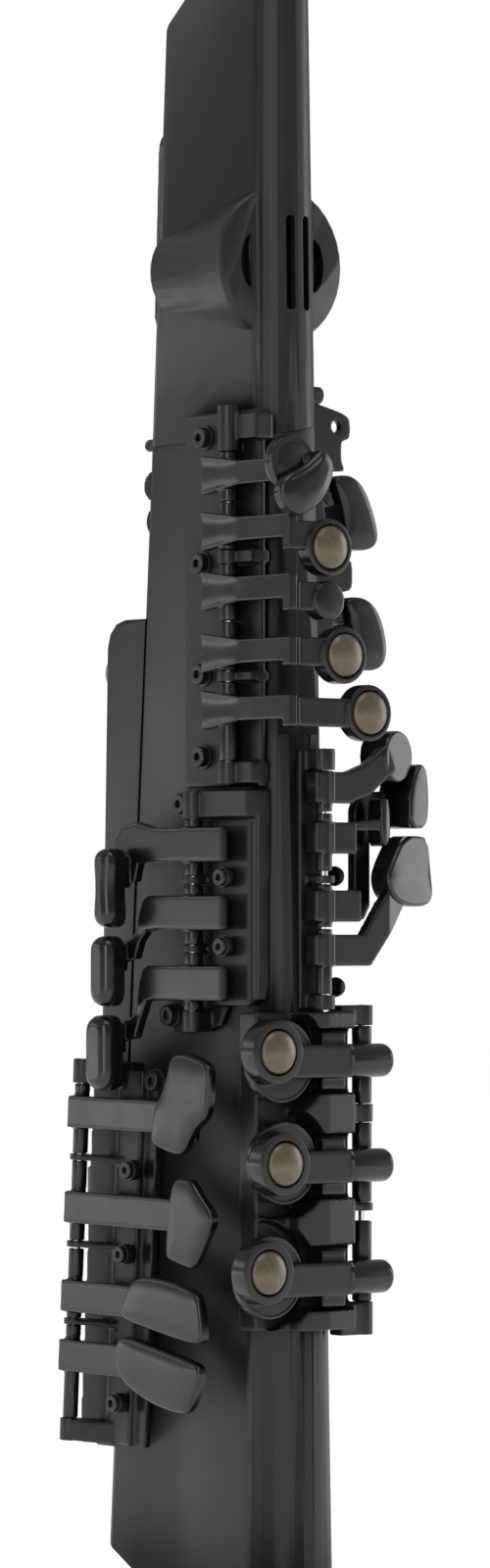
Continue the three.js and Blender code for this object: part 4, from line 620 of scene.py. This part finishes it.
palmTouch = {"plane": "front", "origin": (0, -14, 0), "depth": 20, "rim": 1.3, "crown": 0.5, "cuts": 2, "soften": 4}
sideTouch = {"plane": "side", "origin": (-29.8, 0, 0), "depth": 6.4, "rim": 3.4, "crown": 0.0, "cuts": 3, "soften": 4}
touches = {
    "front_f_key": {
        "plane": "front", "origin": (0, -46.1, 0), "depth": 3.6, "rim": 1.5, "crown": 0.9, "cuts": 3,
        "outline": fromShares([
            (0.84, 1), (1, 0.81), (0.965, 0.595), (0.84, 0.335), (0.61, 0.13), (0.35, 0), (0.09, 0.13), (0, 0.335),
            (0.075, 0.58), (0.41, 0.72), (0.61, 0.87), (0.74, 0.99),
        ], -24, 284.6, 18.4, 17.8),
    },
    "palm_key_1": {
        **palmTouch,
        "outline": [(19.8, 299.1), (30.2, 299.1), (36.6, 285), (35.4, 279.3), (25, 279), (24.6, 286), (22.8, 292.5)],
    },
    "palm_key_2": {
        **palmTouch,
        "outline": [(24.25, 266.4), (35, 265.7), (39.8, 254.3), (38.2, 246.5), (28, 246.5), (27.6, 254), (26.4, 260.5)],
    },
    "table_key_2": {
        "plane": "table", "origin": (25.3, -30, 0), "depth": 4.8, "rim": 0.8, "crown": 0.25, "cuts": 2,
        "outline": [(-1.95, 198.4), (1.95, 198.4), (1.95, 211.1), (-1.95, 211.1)],
    },
    "table_key_3": {
        "plane": "table", "origin": (37.5, -29.4, 0), "depth": 10.6, "rim": 0.9, "crown": 0.15, "cuts": 1,
        "soften": 4,
        "outline": [
            (-4.6, 203.4), (3, 203.2), (4.6, 208), (4.2, 216.5), (2.6, 220.4), (-0.6, 220.4), (-4.6, 212.6),
        ],
    },
    "table_key_4": {
        "plane": "table", "origin": (34.4, -30, 0), "depth": 6, "rim": 1.0, "crown": 0.5, "cuts": 1, "soften": 4,
        "ridge": (190, 2.2),
        "outline": [
            (-11.4, 187.6), (-8.4, 184.2), (-2, 182.2), (8, 182.2), (11.4, 184.6), (10, 191.5), (8.6, 201),
            (-3.4, 201), (-11.4, 191.6),
        ],
    },
    "side_key_1": {
        **sideTouch,
        "outline": [(21.9, 176.5), (30.8, 176.5), (29.4, 187.1), (30.8, 197.7), (21.9, 197.7), (23.3, 187.1)],
    },
    "side_key_2": {
        **sideTouch,
        "outline": [(23, 155.1), (31.8, 155.1), (31.8, 164.6), (31.8, 174), (23, 174), (23, 164.6)],
    },
    "side_key_3": {
        **sideTouch,
        "outline": [(23.8, 132.4), (33.8, 132.4), (33.8, 142.4), (33.8, 152.5), (23.8, 152.5), (23.8, 142.4)],
    },
}
pinkyPads = {
    "pinky_key_1": ((-50.9, 94), (24, 27), [
        (0.30, 0.966), (0.53, 1), (0.74, 0.97), (0.96, 0.92), (1, 0.853), (0.99, 0.466), (0.95, 0.39),
        (0.74, 0.275), (0.59, 0.03), (0.53, 0), (0.37, 0), (0.04, 0.064), (0, 0.1), (0.02, 0.42),
        (0.175, 0.59), (0.26, 0.83),
    ]),
    "pinky_key_2": ((-56.8, 62.5), (19.4, 23.7), [
        (0.04, 0.966), (0.37, 1), (0.51, 0.977), (0.67, 0.833), (1, 0.632), (0.98, 0.53), (0.83, 0.32),
        (0.63, 0.034), (0.565, 0), (0.39, 0.02), (0.065, 0.07), (0, 0.09),
    ]),
    "pinky_key_3": ((-46.6, 38.8), (35.8, 15.5), [
        (0.16, 0.935), (0.27, 1), (0.565, 1), (0.835, 0.90), (0.93, 0.79), (0.95, 0.56), (1, 0.11), (0.96, 0),
        (0.75, 0), (0.08, 0.18), (0, 0.26), (0, 0.38), (0.08, 0.79),
    ]),
    "pinky_key_4": ((-45.4, 20.8), (37.2, 18), [
        (0.01, 0.92), (0.09, 1), (0.935, 0.78), (1, 0.72), (0.985, 0.484), (0.88, 0.04), (0.78, 0),
        (0.57, 0.03), (0.28, 0.15), (0.10, 0.315), (0.02, 0.484), (0, 0.67),
    ]),
}
for node, (middle, size, shares) in pinkyPads.items():
    outline = [(middle[0] + size[0] / 2 - a * size[0], middle[1] - size[1] / 2 + b * size[1]) for a, b in shares]
    touches[node] = {
        "plane": "pinky", "origin": (-29, 49.1, 38.7), "depth": 2.6, "rim": 1.1, "crown": 0.35, "cuts": 3,
        "soften": 5, "outline": outline,
    }


# Corner cutting, each side giving the points at its shares 1/4 and 3/4, then even steps along the
# closed curve, softened by the mean of each point's two neighbours and twice itself
def smoothLoop(corners, cuts, soften=0, count=120):
    points = np.asarray(corners, float)
    area = np.sum(points[:, 0] * np.roll(points[:, 1], -1) - points[:, 1] * np.roll(points[:, 0], -1))
    points = points if area > 0 else points[::-1]
    for _ in range(cuts):
        after = np.roll(points, -1, axis=0)
        points = np.stack([points * 0.75 + after * 0.25, points * 0.25 + after * 0.75], axis=1).reshape(-1, 2)
    closed = np.concatenate([points, points[:1]])
    length = np.concatenate([[0], np.cumsum(np.linalg.norm(np.diff(closed, axis=0), axis=1))])
    even = np.linspace(0, length[-1], count, endpoint=False)
    loop = np.stack([np.interp(even, length, closed[:, 0]), np.interp(even, length, closed[:, 1])], axis=1)
    for _ in range(soften):
        loop = (np.roll(loop, 1, axis=0) + 2 * loop + np.roll(loop, -1, axis=0)) / 4
    return loop


touch = {
    "grow": 0.14, "wallRows": 3, "rimRows": 8, "faceRows": 18, "sweep": math.radians(82), "gather": 1.4,
    "sunk": 0.02, "ridgeFade": 4,
}


# Point(s, t): the outline at s pushed in along its normal over the rim, then drawn to the middle
# while the face is crowned
def touchSurface(look):
    rim, crown, depth = look["rim"], look["crown"], look["depth"]
    loop = smoothLoop(look["outline"], look["cuts"], look.get("soften", 0))
    normal = outlineNormals(loop, 2)
    loop = loop + normal * touch["grow"]
    angle = np.linspace(0, touch["sweep"], touch["rimRows"])
    inward = np.concatenate([np.zeros(touch["wallRows"]), rim * (1 - np.cos(angle))])
    walls = loop[None] - normal[None] * inward[:, None, None]
    middle = walls[-1].mean(axis=0)
    share = 1 - np.linspace(0, 1, touch["faceRows"])[1:] ** touch["gather"]
    face = middle + (walls[-1] - middle)[None] * share[:, None, None]
    flat = np.concatenate([np.broadcast_to(loop.mean(axis=0), (1,) + loop.shape), walls, face])
    wallHeight = np.linspace(-depth, -rim, touch["wallRows"], endpoint=False)
    faceHeight = rim * (math.sin(touch["sweep"]) - 1) + crown * (1 - share ** 4)
    height = np.concatenate([[-depth], wallHeight, rim * (np.sin(angle) - 1), faceHeight])
    height = height - crown - touch["sunk"]
    height = np.broadcast_to(height[:, None], flat.shape[:2]).copy()
    if "ridge" in look:
        line, width = look["ridge"]
        away = np.abs(flat[-len(share):, :, 1] - line) / width / touch["ridgeFade"]
        height[-len(share):] -= crown * (1 - share[:, None] ** 4) * np.clip(away, 0, 1)
    across, up, out = planeAxes(look)
    origin = np.asarray(look["origin"], float)
    return gridSurface((origin + flat[..., :1] * across + flat[..., 1:] * up + height[..., None] * out) * mm)


tuck = {"inside": 0.35, "reach": 2.2, "below": 0.1, "above": 1}
cells = {"upper": 0.3, "key": 0.38}
notched = ("bis_key", "a_key", "g_key")
keySkins = {node: upperArm(arm, foot, node in notched) for node, arm in upperArms.items()}
for node in [n for n in nodes if "_key" in n and n not in upperArms]:
    keySkins[node] = None
for node, look in touches.items():
    sunk = min(look["depth"] / 2, look["rim"] + look["crown"])
    back = cutBack(look["origin"], planes[look["plane"]]["out"], -sunk)
    steps = [step for step in (keySkins[node], back) if step]
    if look["plane"] == "pinky" or node.startswith("palm"):
        steps.insert(0, tuckedIn(look))
    keySkins[node] = inTurn(*steps)
for node, shape in keySkins.items():
    cell = cells["upper" if node in upperArms else "key"]
    mouldedSkin(node, materials["key"], "key_plastic", cell=cell, shape=shape)
for node, look in touches.items():
    addKeyPiece(node + "_touch", [touchSurface(look)], nodes[node]["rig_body"], sharp=50)
for node in ("octave_lever", "thumb_rest", "thumb_hook", "control_panel", "neck_collar", "ligature"):
    mouldedSkin(node, materials["key"], "key_plastic")
# Cell size and relaxing steps
plateSkins = {
    "upper_plate": (0.5, 3), "palm_bracket": (0.4, 3), "table_plate": (0.45, 3), "side_plate": (0.5, 8),
    "lower_block": (0.5, 8), "pinky_rail": (0.5, 3),
}
for node, (cell, relax) in plateSkins.items():
    mouldedSkin(node, materials["plate"], "plate_plastic", cell=cell, relax=relax)
mouldedSkin("mouthpiece", materials["key"], "key_plastic", cell=0.4)
mouldedSkin("strap_ring", materials["steel"], "steel", cell=0.25, relax=6)
print("keys and plates dressed")


# Cups round the pearls, discs, bosses and lugs: each a profile of [radius, height] turned about the way it faces
cup = {
    "radius": 7.55, "deep": 5.1, "lip": 0.55, "hole": 5.8, "flare": 0.25, "floor": 1.2, "ease": 0.9, "proud": 0.1,
}


# Out along the back, up the wall, in over the rim and down a flared lip to the seat of the pearl
def cupProfile(radius, deep, ease):
    hole, lip = cup["hole"], cup["lip"]
    outer = eased([(0, -deep), (radius, -deep), (radius, 0), (hole + lip, 0)], ease)
    inner = [(hole + lip, 0), (hole + cup["flare"], -lip * 0.9), (hole, -lip * 1.2), (hole, -cup["floor"])]
    return np.concatenate([outer[:-1], inner])


forward = (0, -1, 0)
cups = {"b_key": (-5.3, -42.5, 277), "a_key": (-0.2, -42.5, 248.5), "g_key": (8.4, -42.5, 233.4)}
boss = {"radius": 8.4, "deep": 5.4, "front": -38.6, "ease": 0.45}
bosses = {"f_key": (-19.9, 143.5), "e_key": (-17.5, 114), "d_key": (-23.1, 85.6)}
disc = {"radius": 11.1, "front": -33, "tall": 3.1, "ease": 0.7, "groove": 9.4, "slope": 0.5, "rise": 0.05, "sunk": 0.6}
discs = {"f_key": (-14.1, 141), "e_key": (-13.2, 114.1), "d_key": (-17.9, 84)}
lug = {"radius": 4.5, "y": -34.3, "from": 6.3, "to": 20.5, "ease": 1.7}
lugs = {"f_key": 140.9, "e_key": 112.9, "d_key": 83.2}
for node, (x, y, z) in cups.items():
    profile = cupProfile(cup["radius"], cup["deep"], cup["ease"])
    surface = turnedSurface(profile, (x, y - cup["proud"], z), forward, 72)
    addKeyPiece(node + "_cup", [surface], nodes[node]["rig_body"])
edge = eased([
    (0, -disc["tall"]), (disc["radius"], -disc["tall"]), (disc["radius"], disc["rise"]),
    (disc["groove"] + disc["slope"], disc["rise"]), (disc["groove"], -disc["sunk"]), (0, -disc["sunk"]),
], disc["ease"])
length = lug["to"] - lug["from"]
bar = eased([(0, 0), (lug["radius"], 0), (lug["radius"], length), (0, length)], lug["ease"])
for node, (x, z) in bosses.items():
    profile = cupProfile(boss["radius"], boss["deep"], boss["ease"])
    ring = turnedSurface(profile, (x, boss["front"] - cup["proud"], z), forward, 80)
    plate = turnedSurface(edge, (discs[node][0], disc["front"] - cup["proud"], discs[node][1]), forward, 80)
    arm = turnedSurface(bar, (lug["from"], lug["y"], lugs[node]), (1, 0, 0), 56)
    addKeyPiece(node + "_cup", [ring, plate, arm], nodes[node]["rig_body"])
button = eased([(0, -5), (5.25, -5), (5.25, 0.0), (3.4, 0.35), (0, 0.45)], 0.8)
addKeyPiece("bis_button", [turnedSurface(button, (-5.5, -42.55, 262.9), forward, 64)], "bis")
domed = eased([(0, -3.4), (7.5, -3.4), (7.5, -1.1), (6.2, -0.2), (3.4, 0.3), (0, 0.42)], 1.1)
addKeyPiece("front_f_disc", [turnedSurface(domed, (-17.3, -41.8, 299), forward, 64)], "front_f")
puck = eased([(0, -8.4), (7.0, -8.4), (7.0, 0), (5.4, 0.1), (0, 0.12)], 0.9)
addKeyPiece("table_first_puck", [turnedSurface(puck, (29.2, -30, 222.4), planes["table"]["out"], 72)], "table_first")
print("cups, discs and lugs turned")


# Hinge sleeves, posts and rods
stacks = {
    "upper": {
        "rod": (-15.5, -12.3, 0), "lean": 0, "tube": 2.6, "post": 3.1,
        "posts": [(303.8, 316), (273.7, 277.2), (242.2, 244.8), (214.7, 220.6)],
        "keys": {"front_f": 297.6, "b": 282.6, "bis": 266.5, "a": 249.9, "g": 234.6}, "armHalf": 3.2,
    },
    "table": {
        "rod": (1.6, -31.5, 0), "lean": 0, "tube": 2.1, "post": 2.9,
        "posts": [(218.4, 224), (188.2, 190.2), (154.5, 158.4)],
        "keys": {"table_first": 213.75, "table_second": 200.3, "table_third": 182.1, "table_fourth": 170.3},
        "armHalf": 4.2,
    },
    "side": {
        "rod": (-17.5, 0.35, 0), "lean": 0, "tube": 2.5, "post": 2.9,
        "posts": [(205.6, 213), (188.2, 190), (169.8, 171.6), (148.4, 153.8)],
        "keys": {"side_first": 198.6, "side_second": 180.3, "side_third": 161.45}, "armHalf": 4.7,
    },
    "lower": {
        "rod": (17.6, -28, 0), "lean": 0, "tube": 2.65, "post": 2.95,
        "posts": [(150.2, 155.6), (124.3, 129.1), (100.6, 102.7), (67.4, 76.2)],
        "keys": {"f": 140.9, "e": 112.9, "d": 83.2}, "armHalf": 4.4,
    },
    "pinky": {
        "rod": (-22, 49.1, 38.7), "lean": railLean, "tube": 2.05, "post": 2.7,
        "posts": [(95.5, 102), (74.4, 76), (50.6, 52.2), (29.4, 31), (-2.4, 3.6)],
        "keys": {"pinky_first": 88.6, "pinky_second": 62.5, "pinky_third": 38.2, "pinky_fourth": 21.9},
        "armHalf": 4.35,
    },
}
sleeve = {"bore": 1.3, "ease": 0.25, "gap": 0.3, "proud": 0.03, "shortest": 0.4, "close": 0.01}
rod = {"radius": 1.0, "past": 0.1, "ease": 0.25}


# The direction of a stack's rod, leaning back from +Z
def rodAxis(stack):
    return (0, -math.sin(stack["lean"]), math.cos(stack["lean"]))


# A short tube with eased ends about the rod
def sleeveSurface(stack, radius, low, high):
    bore = sleeve["bore"]
    profile = [(bore, low), (radius, low), (radius, high), (bore, high), (bore, low + sleeve["close"])]
    return turnedSurface(eased(profile, sleeve["ease"]), stack["rod"], rodAxis(stack))


for name, stack in stacks.items():
    arms = list(stack["keys"].values())
    cuts = [edge for post in stack["posts"] for edge in post]
    for i, (body, arm) in enumerate(stack["keys"].items()):
        above = min(cut for cut in cuts if cut > arm)
        below = max(cut for cut in cuts if cut < arm)
        high = min(above, (arms[i - 1] + arm) / 2 if i else above) - sleeve["gap"]
        low = max(below, (arms[i + 1] + arm) / 2 if i + 1 < len(arms) else below) + sleeve["gap"]
        ends = [(low, arm - stack["armHalf"]), (arm + stack["armHalf"], high)]
        ends = [(a, b) for a, b in ends if b - a > sleeve["shortest"]]
        meshes = [sleeveSurface(stack, stack["tube"] + sleeve["proud"], a, b) for a, b in ends]
        addKeyPiece(f"{body}_sleeve", meshes, body)
    meshes = [sleeveSurface(stack, stack["post"] + sleeve["proud"], low, high) for low, high in stack["posts"]]
    addPiece(f"{name}_posts", meshes, "instrument", materials["plate"], slot="plate_plastic")
    bottom, top = stack["posts"][-1][0] - rod["past"], stack["posts"][0][1] + rod["past"]
    profile = [(0, bottom), (rod["radius"], bottom), (rod["radius"], top), (0, top)]
    surface = turnedSurface(eased(profile, rod["ease"]), stack["rod"], rodAxis(stack), 32)
    addPiece(f"{name}_rod_turned", [surface], "instrument", materials["steel"], [f"{name}_rod"], "steel")
print("hinges turned")


# Pearls
pearl = {"radius": 5.7, "crown": 2.2, "rows": 18, "roundness": 1.15, "ease": 0.3}
for node in [n for n in nodes if n.endswith("_pearl")]:
    low, high = (np.array(corner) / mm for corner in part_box(node))
    middle = (low + high) / 2
    quarter = np.linspace(0, 1, pearl["rows"]) * np.pi / 2
    rim = high[1] - low[1] - pearl["crown"]
    rise = rim + pearl["crown"] * np.cos(quarter) ** pearl["roundness"]
    dome = np.stack([pearl["radius"] * np.sin(quarter), rise], axis=1)[::-1]
    base = [(0, 0), (pearl["radius"] - pearl["ease"], 0), (pearl["radius"], pearl["ease"])]
    surface = turnedSurface(np.concatenate([base, dome]), (middle[0], high[1], middle[2]), forward, 64)
    material = pearlMaterial(node + "Shell", (middle[0] * mm, high[1] * mm, middle[2] * mm))
    addPiece(node + "_turned", [surface], nodes[node]["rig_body"], material, [node], "pearl")
print("pearls turned")


# Socket screws and adjusters
screw = {
    "radius": 2.8, "tall": 2.2, "socket": 1.25, "depth": 1.3, "washer": 3.3, "washerTall": 0.6, "ease": 0.45,
    "washerEase": 0.15, "chamfer": 0.15, "cone": 0.2,
}


# Washer, domed head and a six-sided socket, standing on its seat along the axis
def screwSurfaces(origin, axis, size=1.0, proud=None):
    wide, low = screw["washer"] * size, screw["washerTall"]
    radius, socket = screw["radius"] * size, screw["socket"] * size
    tall = (proud or screw["tall"]) + low
    floor = tall - screw["depth"]
    washer = [(0, 0), (wide, 0), (wide, low), (0, low)]
    head = [(0, low / 2), (radius, low / 2), (radius, tall), (screw["socket"] * 1.25 * size, tall)]
    bore = [(socket, tall - screw["chamfer"]), (socket, floor), (0, floor - screw["cone"])]

    def inSocket(reach, height):
        return (reach < screw["socket"] * 1.1 * size) & (height > low)

    sided = turned(np.concatenate([eased(head, screw["ease"]), bore]), 48, hexagon, inSocket)
    disc = turnedSurface(eased(washer, screw["washerEase"]), origin, axis, 40)
    return [disc, gridSurface(placed(sided, origin, axis))]


adjuster = {"shank": 1.2, "shankEase": 0.1, "bumper": 2.7, "bumperEase": 0.5, "from": 0.25, "to": 0.8}


# A screw whose shank carries a rubber bumper under the head
def adjusterSurfaces(origin, axis, reach):
    shank = [(0, 0), (adjuster["shank"], 0), (adjuster["shank"], reach), (0, reach)]
    low, high = reach * adjuster["from"], reach * adjuster["to"]
    bumper = [(0, low), (adjuster["bumper"], low), (adjuster["bumper"], high), (0, high)]
    return (
        [turnedSurface(eased(shank, adjuster["shankEase"]), origin, axis, 24)],
        [turnedSurface(eased(bumper, adjuster["bumperEase"]), origin, axis, 40)],
    )


left, right = (-1, 0, 0), (1, 0, 0)
plateScrews = [
    (-12.4, 1.5, 308.4), (-12.4, 2.4, 274.5), (-12.4, 2.2, 244.6), (-12.4, 2.0, 222.4), (-11.6, 11.4, 209.8),
    (-13.4, 14.4, 152.7), (-14.5, 19.6, 134.9),
]
meshes = [surface for origin in plateScrews for surface in screwSurfaces(origin, left)]
addPiece("plate_screws", meshes, "instrument", materials["screw"], slot="steel")

# Seat of each adjuster and its reach from there
sideAdjusters = [
    ((-15, -12.3, 189.8), 3.2), ((-15, -12.3, 171.3), 3.2), ((-17, 24.4, 110.7), 4.5), ((-17, 27.4, 87.8), 4.5),
    ((-17, 30.5, 47.3), 4.5),
]
sideHead = {"along": 0.75, "size": 0.85, "proud": 1.4}
tableAdjusters = [(11.9, -22.6, 160.4), (11.7, -22.4, 190.2)]
tableHead = {"reach": 2.2, "start": 1.6, "size": 0.75, "proud": 0.8}
heads, bumpers = [], []
for (x, y, z), reach in sideAdjusters:
    shank, bumper = adjusterSurfaces((x, y, z), left, reach)
    seat = (x - reach * sideHead["along"], y, z)
    heads += shank + screwSurfaces(seat, left, sideHead["size"], sideHead["proud"])
    bumpers += bumper
for x, y, z in tableAdjusters:
    shank, bumper = adjusterSurfaces((x, y, z), right, tableHead["reach"])
    seat = (x + tableHead["start"], y, z)
    heads += shank + screwSurfaces(seat, right, tableHead["size"], tableHead["proud"])
    bumpers += bumper
teeth = {"count": 24, "depth": 0.035}


# Fine teeth round the edge of a finger screw
def knurl(angle):
    return 1 + teeth["depth"] * np.cos(angle * teeth["count"])


fingerScrew = eased([(0, 0), (2.3, 0), (2.3, 3.2), (1.2, 3.2), (1.2, 3.0), (0, 3.0)], 0.3)
knurled = turned(fingerScrew, 144, knurl, lambda radius, height: radius > 2.0)
heads.append(gridSurface(placed(knurled, (12.6, -12.3, 320.4), right)))
addPiece("adjuster_screws", heads, "instrument", materials["screw"], slot="steel")
addPiece("adjuster_bumpers", bumpers, "instrument", materials["rubber"], slot="key_plastic")
print("screws set")


# Neck, reed and small rear fittings
for node in ("button_1", "button_2"):
    mouldedSkin(node, materials["key"], "key_plastic", cell=0.2, relax=6)
mouldedSkin("neck_tube", materials["key"], "key_plastic", cell=0.5, relax=8)
mouldedSkin("reed", materials["reed"], "reed_cane", cell=0.3, relax=3)
inner = {"main_board": "plate", "battery_pack": "cell", "speaker_driver": "rubber"}
for node, look in inner.items():
    for slot in nodes[node].material_slots:
        slot.material = materials[look]
print("neck and rear dressed")


# Floor, light and camera
# A ray that sees the floor straight, mirrored or through glass finds it glowing; light falls on its plain colour
def studioMaterial(name, colour, glow):
    plain = {"Base Color": colour, "Roughness": 0.9, "Specular IOR Level": 0.0, "Emission Color": (1, 1, 1, 1)}
    material, tree, shader = newMaterial(name, plain)[:3]
    paths = addNode(tree, "LightPath").outputs
    indirect = maths(tree, "MAXIMUM", paths["Is Glossy Ray"], paths["Is Transmission Ray"])
    seen = maths(tree, "MAXIMUM", paths["Is Camera Ray"], indirect)
    tree.links.new(maths(tree, "MULTIPLY", seen, glow), shader.inputs["Emission Strength"])
    return material


floor = {"half": 6.0, "z": -0.0006, "colour": (0.85, 0.85, 0.84, 1), "glow": 0.72}
corners = np.array([[(-1, -1, 0), (1, -1, 0)], [(-1, 1, 0), (1, 1, 0)]], float) * floor["half"] + (0, 0, floor["z"])
floorMesh = gridSurface(corners, wrap=False)
floorPiece = bpy.data.objects.new("studio_floor", floorMesh)
bpy.context.scene.collection.objects.link(floorPiece)
floorMesh.materials.append(studioMaterial("studioFloor", floor["colour"], floor["glow"]))


# At its place, looking at the target
def aim(item, place, target):
    item.location = place
    item.rotation_euler = (Vector(target) - Vector(place)).to_track_quat("-Z", "Y").to_euler()
    bpy.context.scene.collection.objects.link(item)
studio = {
    "key": {"place": (-1.9, -1.0, 0.65), "size": (0.5, 2.0), "power": 12},
    "low": {"place": (-1.5, 1.75, 0.06), "size": (1.5, 0.22), "power": 2.1},
    "high": {"place": (-1.5, 1.75, 0.85), "size": (1.5, 0.5), "power": 3.3},
    "right": {"place": (2.0, -0.5, 0.45), "size": (0.9, 1.4), "power": 10},
    "front": {"place": (1.5, -1.35, 0.4), "size": (0.5, 1.0), "power": 0.8},
    "top": {"place": (-0.3, -0.6, 2.0), "size": (1.2, 1.2), "power": 8},
}
lampTarget = (0, 0, 0.25)
for name, lamp in studio.items():
    light = bpy.data.lights.new("softbox_" + name, "AREA")
    light.shape = "RECTANGLE"
    light.size, light.size_y = lamp["size"]
    light.energy = lamp["power"]
    box = bpy.data.objects.new("softbox_" + name, light)
    box.visible_camera = False
    aim(box, lamp["place"], lampTarget)

backdrop = {"ambient": 0.32, "mirrored": 0.16}
world = bpy.data.worlds.new("studio")
bpy.context.scene.world = world
world.use_nodes = True
tree = world.node_tree
tree.nodes.clear()
paths = addNode(tree, "LightPath").outputs
seen = maths(tree, "MAXIMUM", paths["Is Camera Ray"], paths["Is Transmission Ray"])
mirrored = maths(tree, "MULTIPLY", paths["Is Glossy Ray"], backdrop["mirrored"])
strength = maths(tree, "MAXIMUM", spread(tree, seen, 0, 1, backdrop["ambient"], 1.0), mirrored)
background = addNode(tree, "Background", {"Color": (1, 1, 1, 1), "Strength": strength})
tree.links.new(background.outputs[0], tree.nodes.new("ShaderNodeOutputWorld").inputs[0])

view = {
    "place": (-1.0340, -1.2770, 0.1754), "target": (0, 0, 0.2152), "angle": 14.70, "nearest": 0.05, "farthest": 50,
}
camera = bpy.data.cameras.new("camera")
camera.sensor_fit = "VERTICAL"
camera.angle = math.radians(view["angle"])
camera.clip_start, camera.clip_end = view["nearest"], view["farthest"]
cameraPiece = bpy.data.objects.new("camera", camera)
aim(cameraPiece, view["place"], view["target"])
bpy.context.scene.camera = cameraPiece
bpy.context.scene.view_settings.view_transform = "Standard"

# A face with n corners makes n - 2 triangles
triangles = sum(len(piece.data.loops) - 2 * len(piece.data.polygons) for piece in pieces)
print("pieces:", len(pieces), "triangles:", triangles)
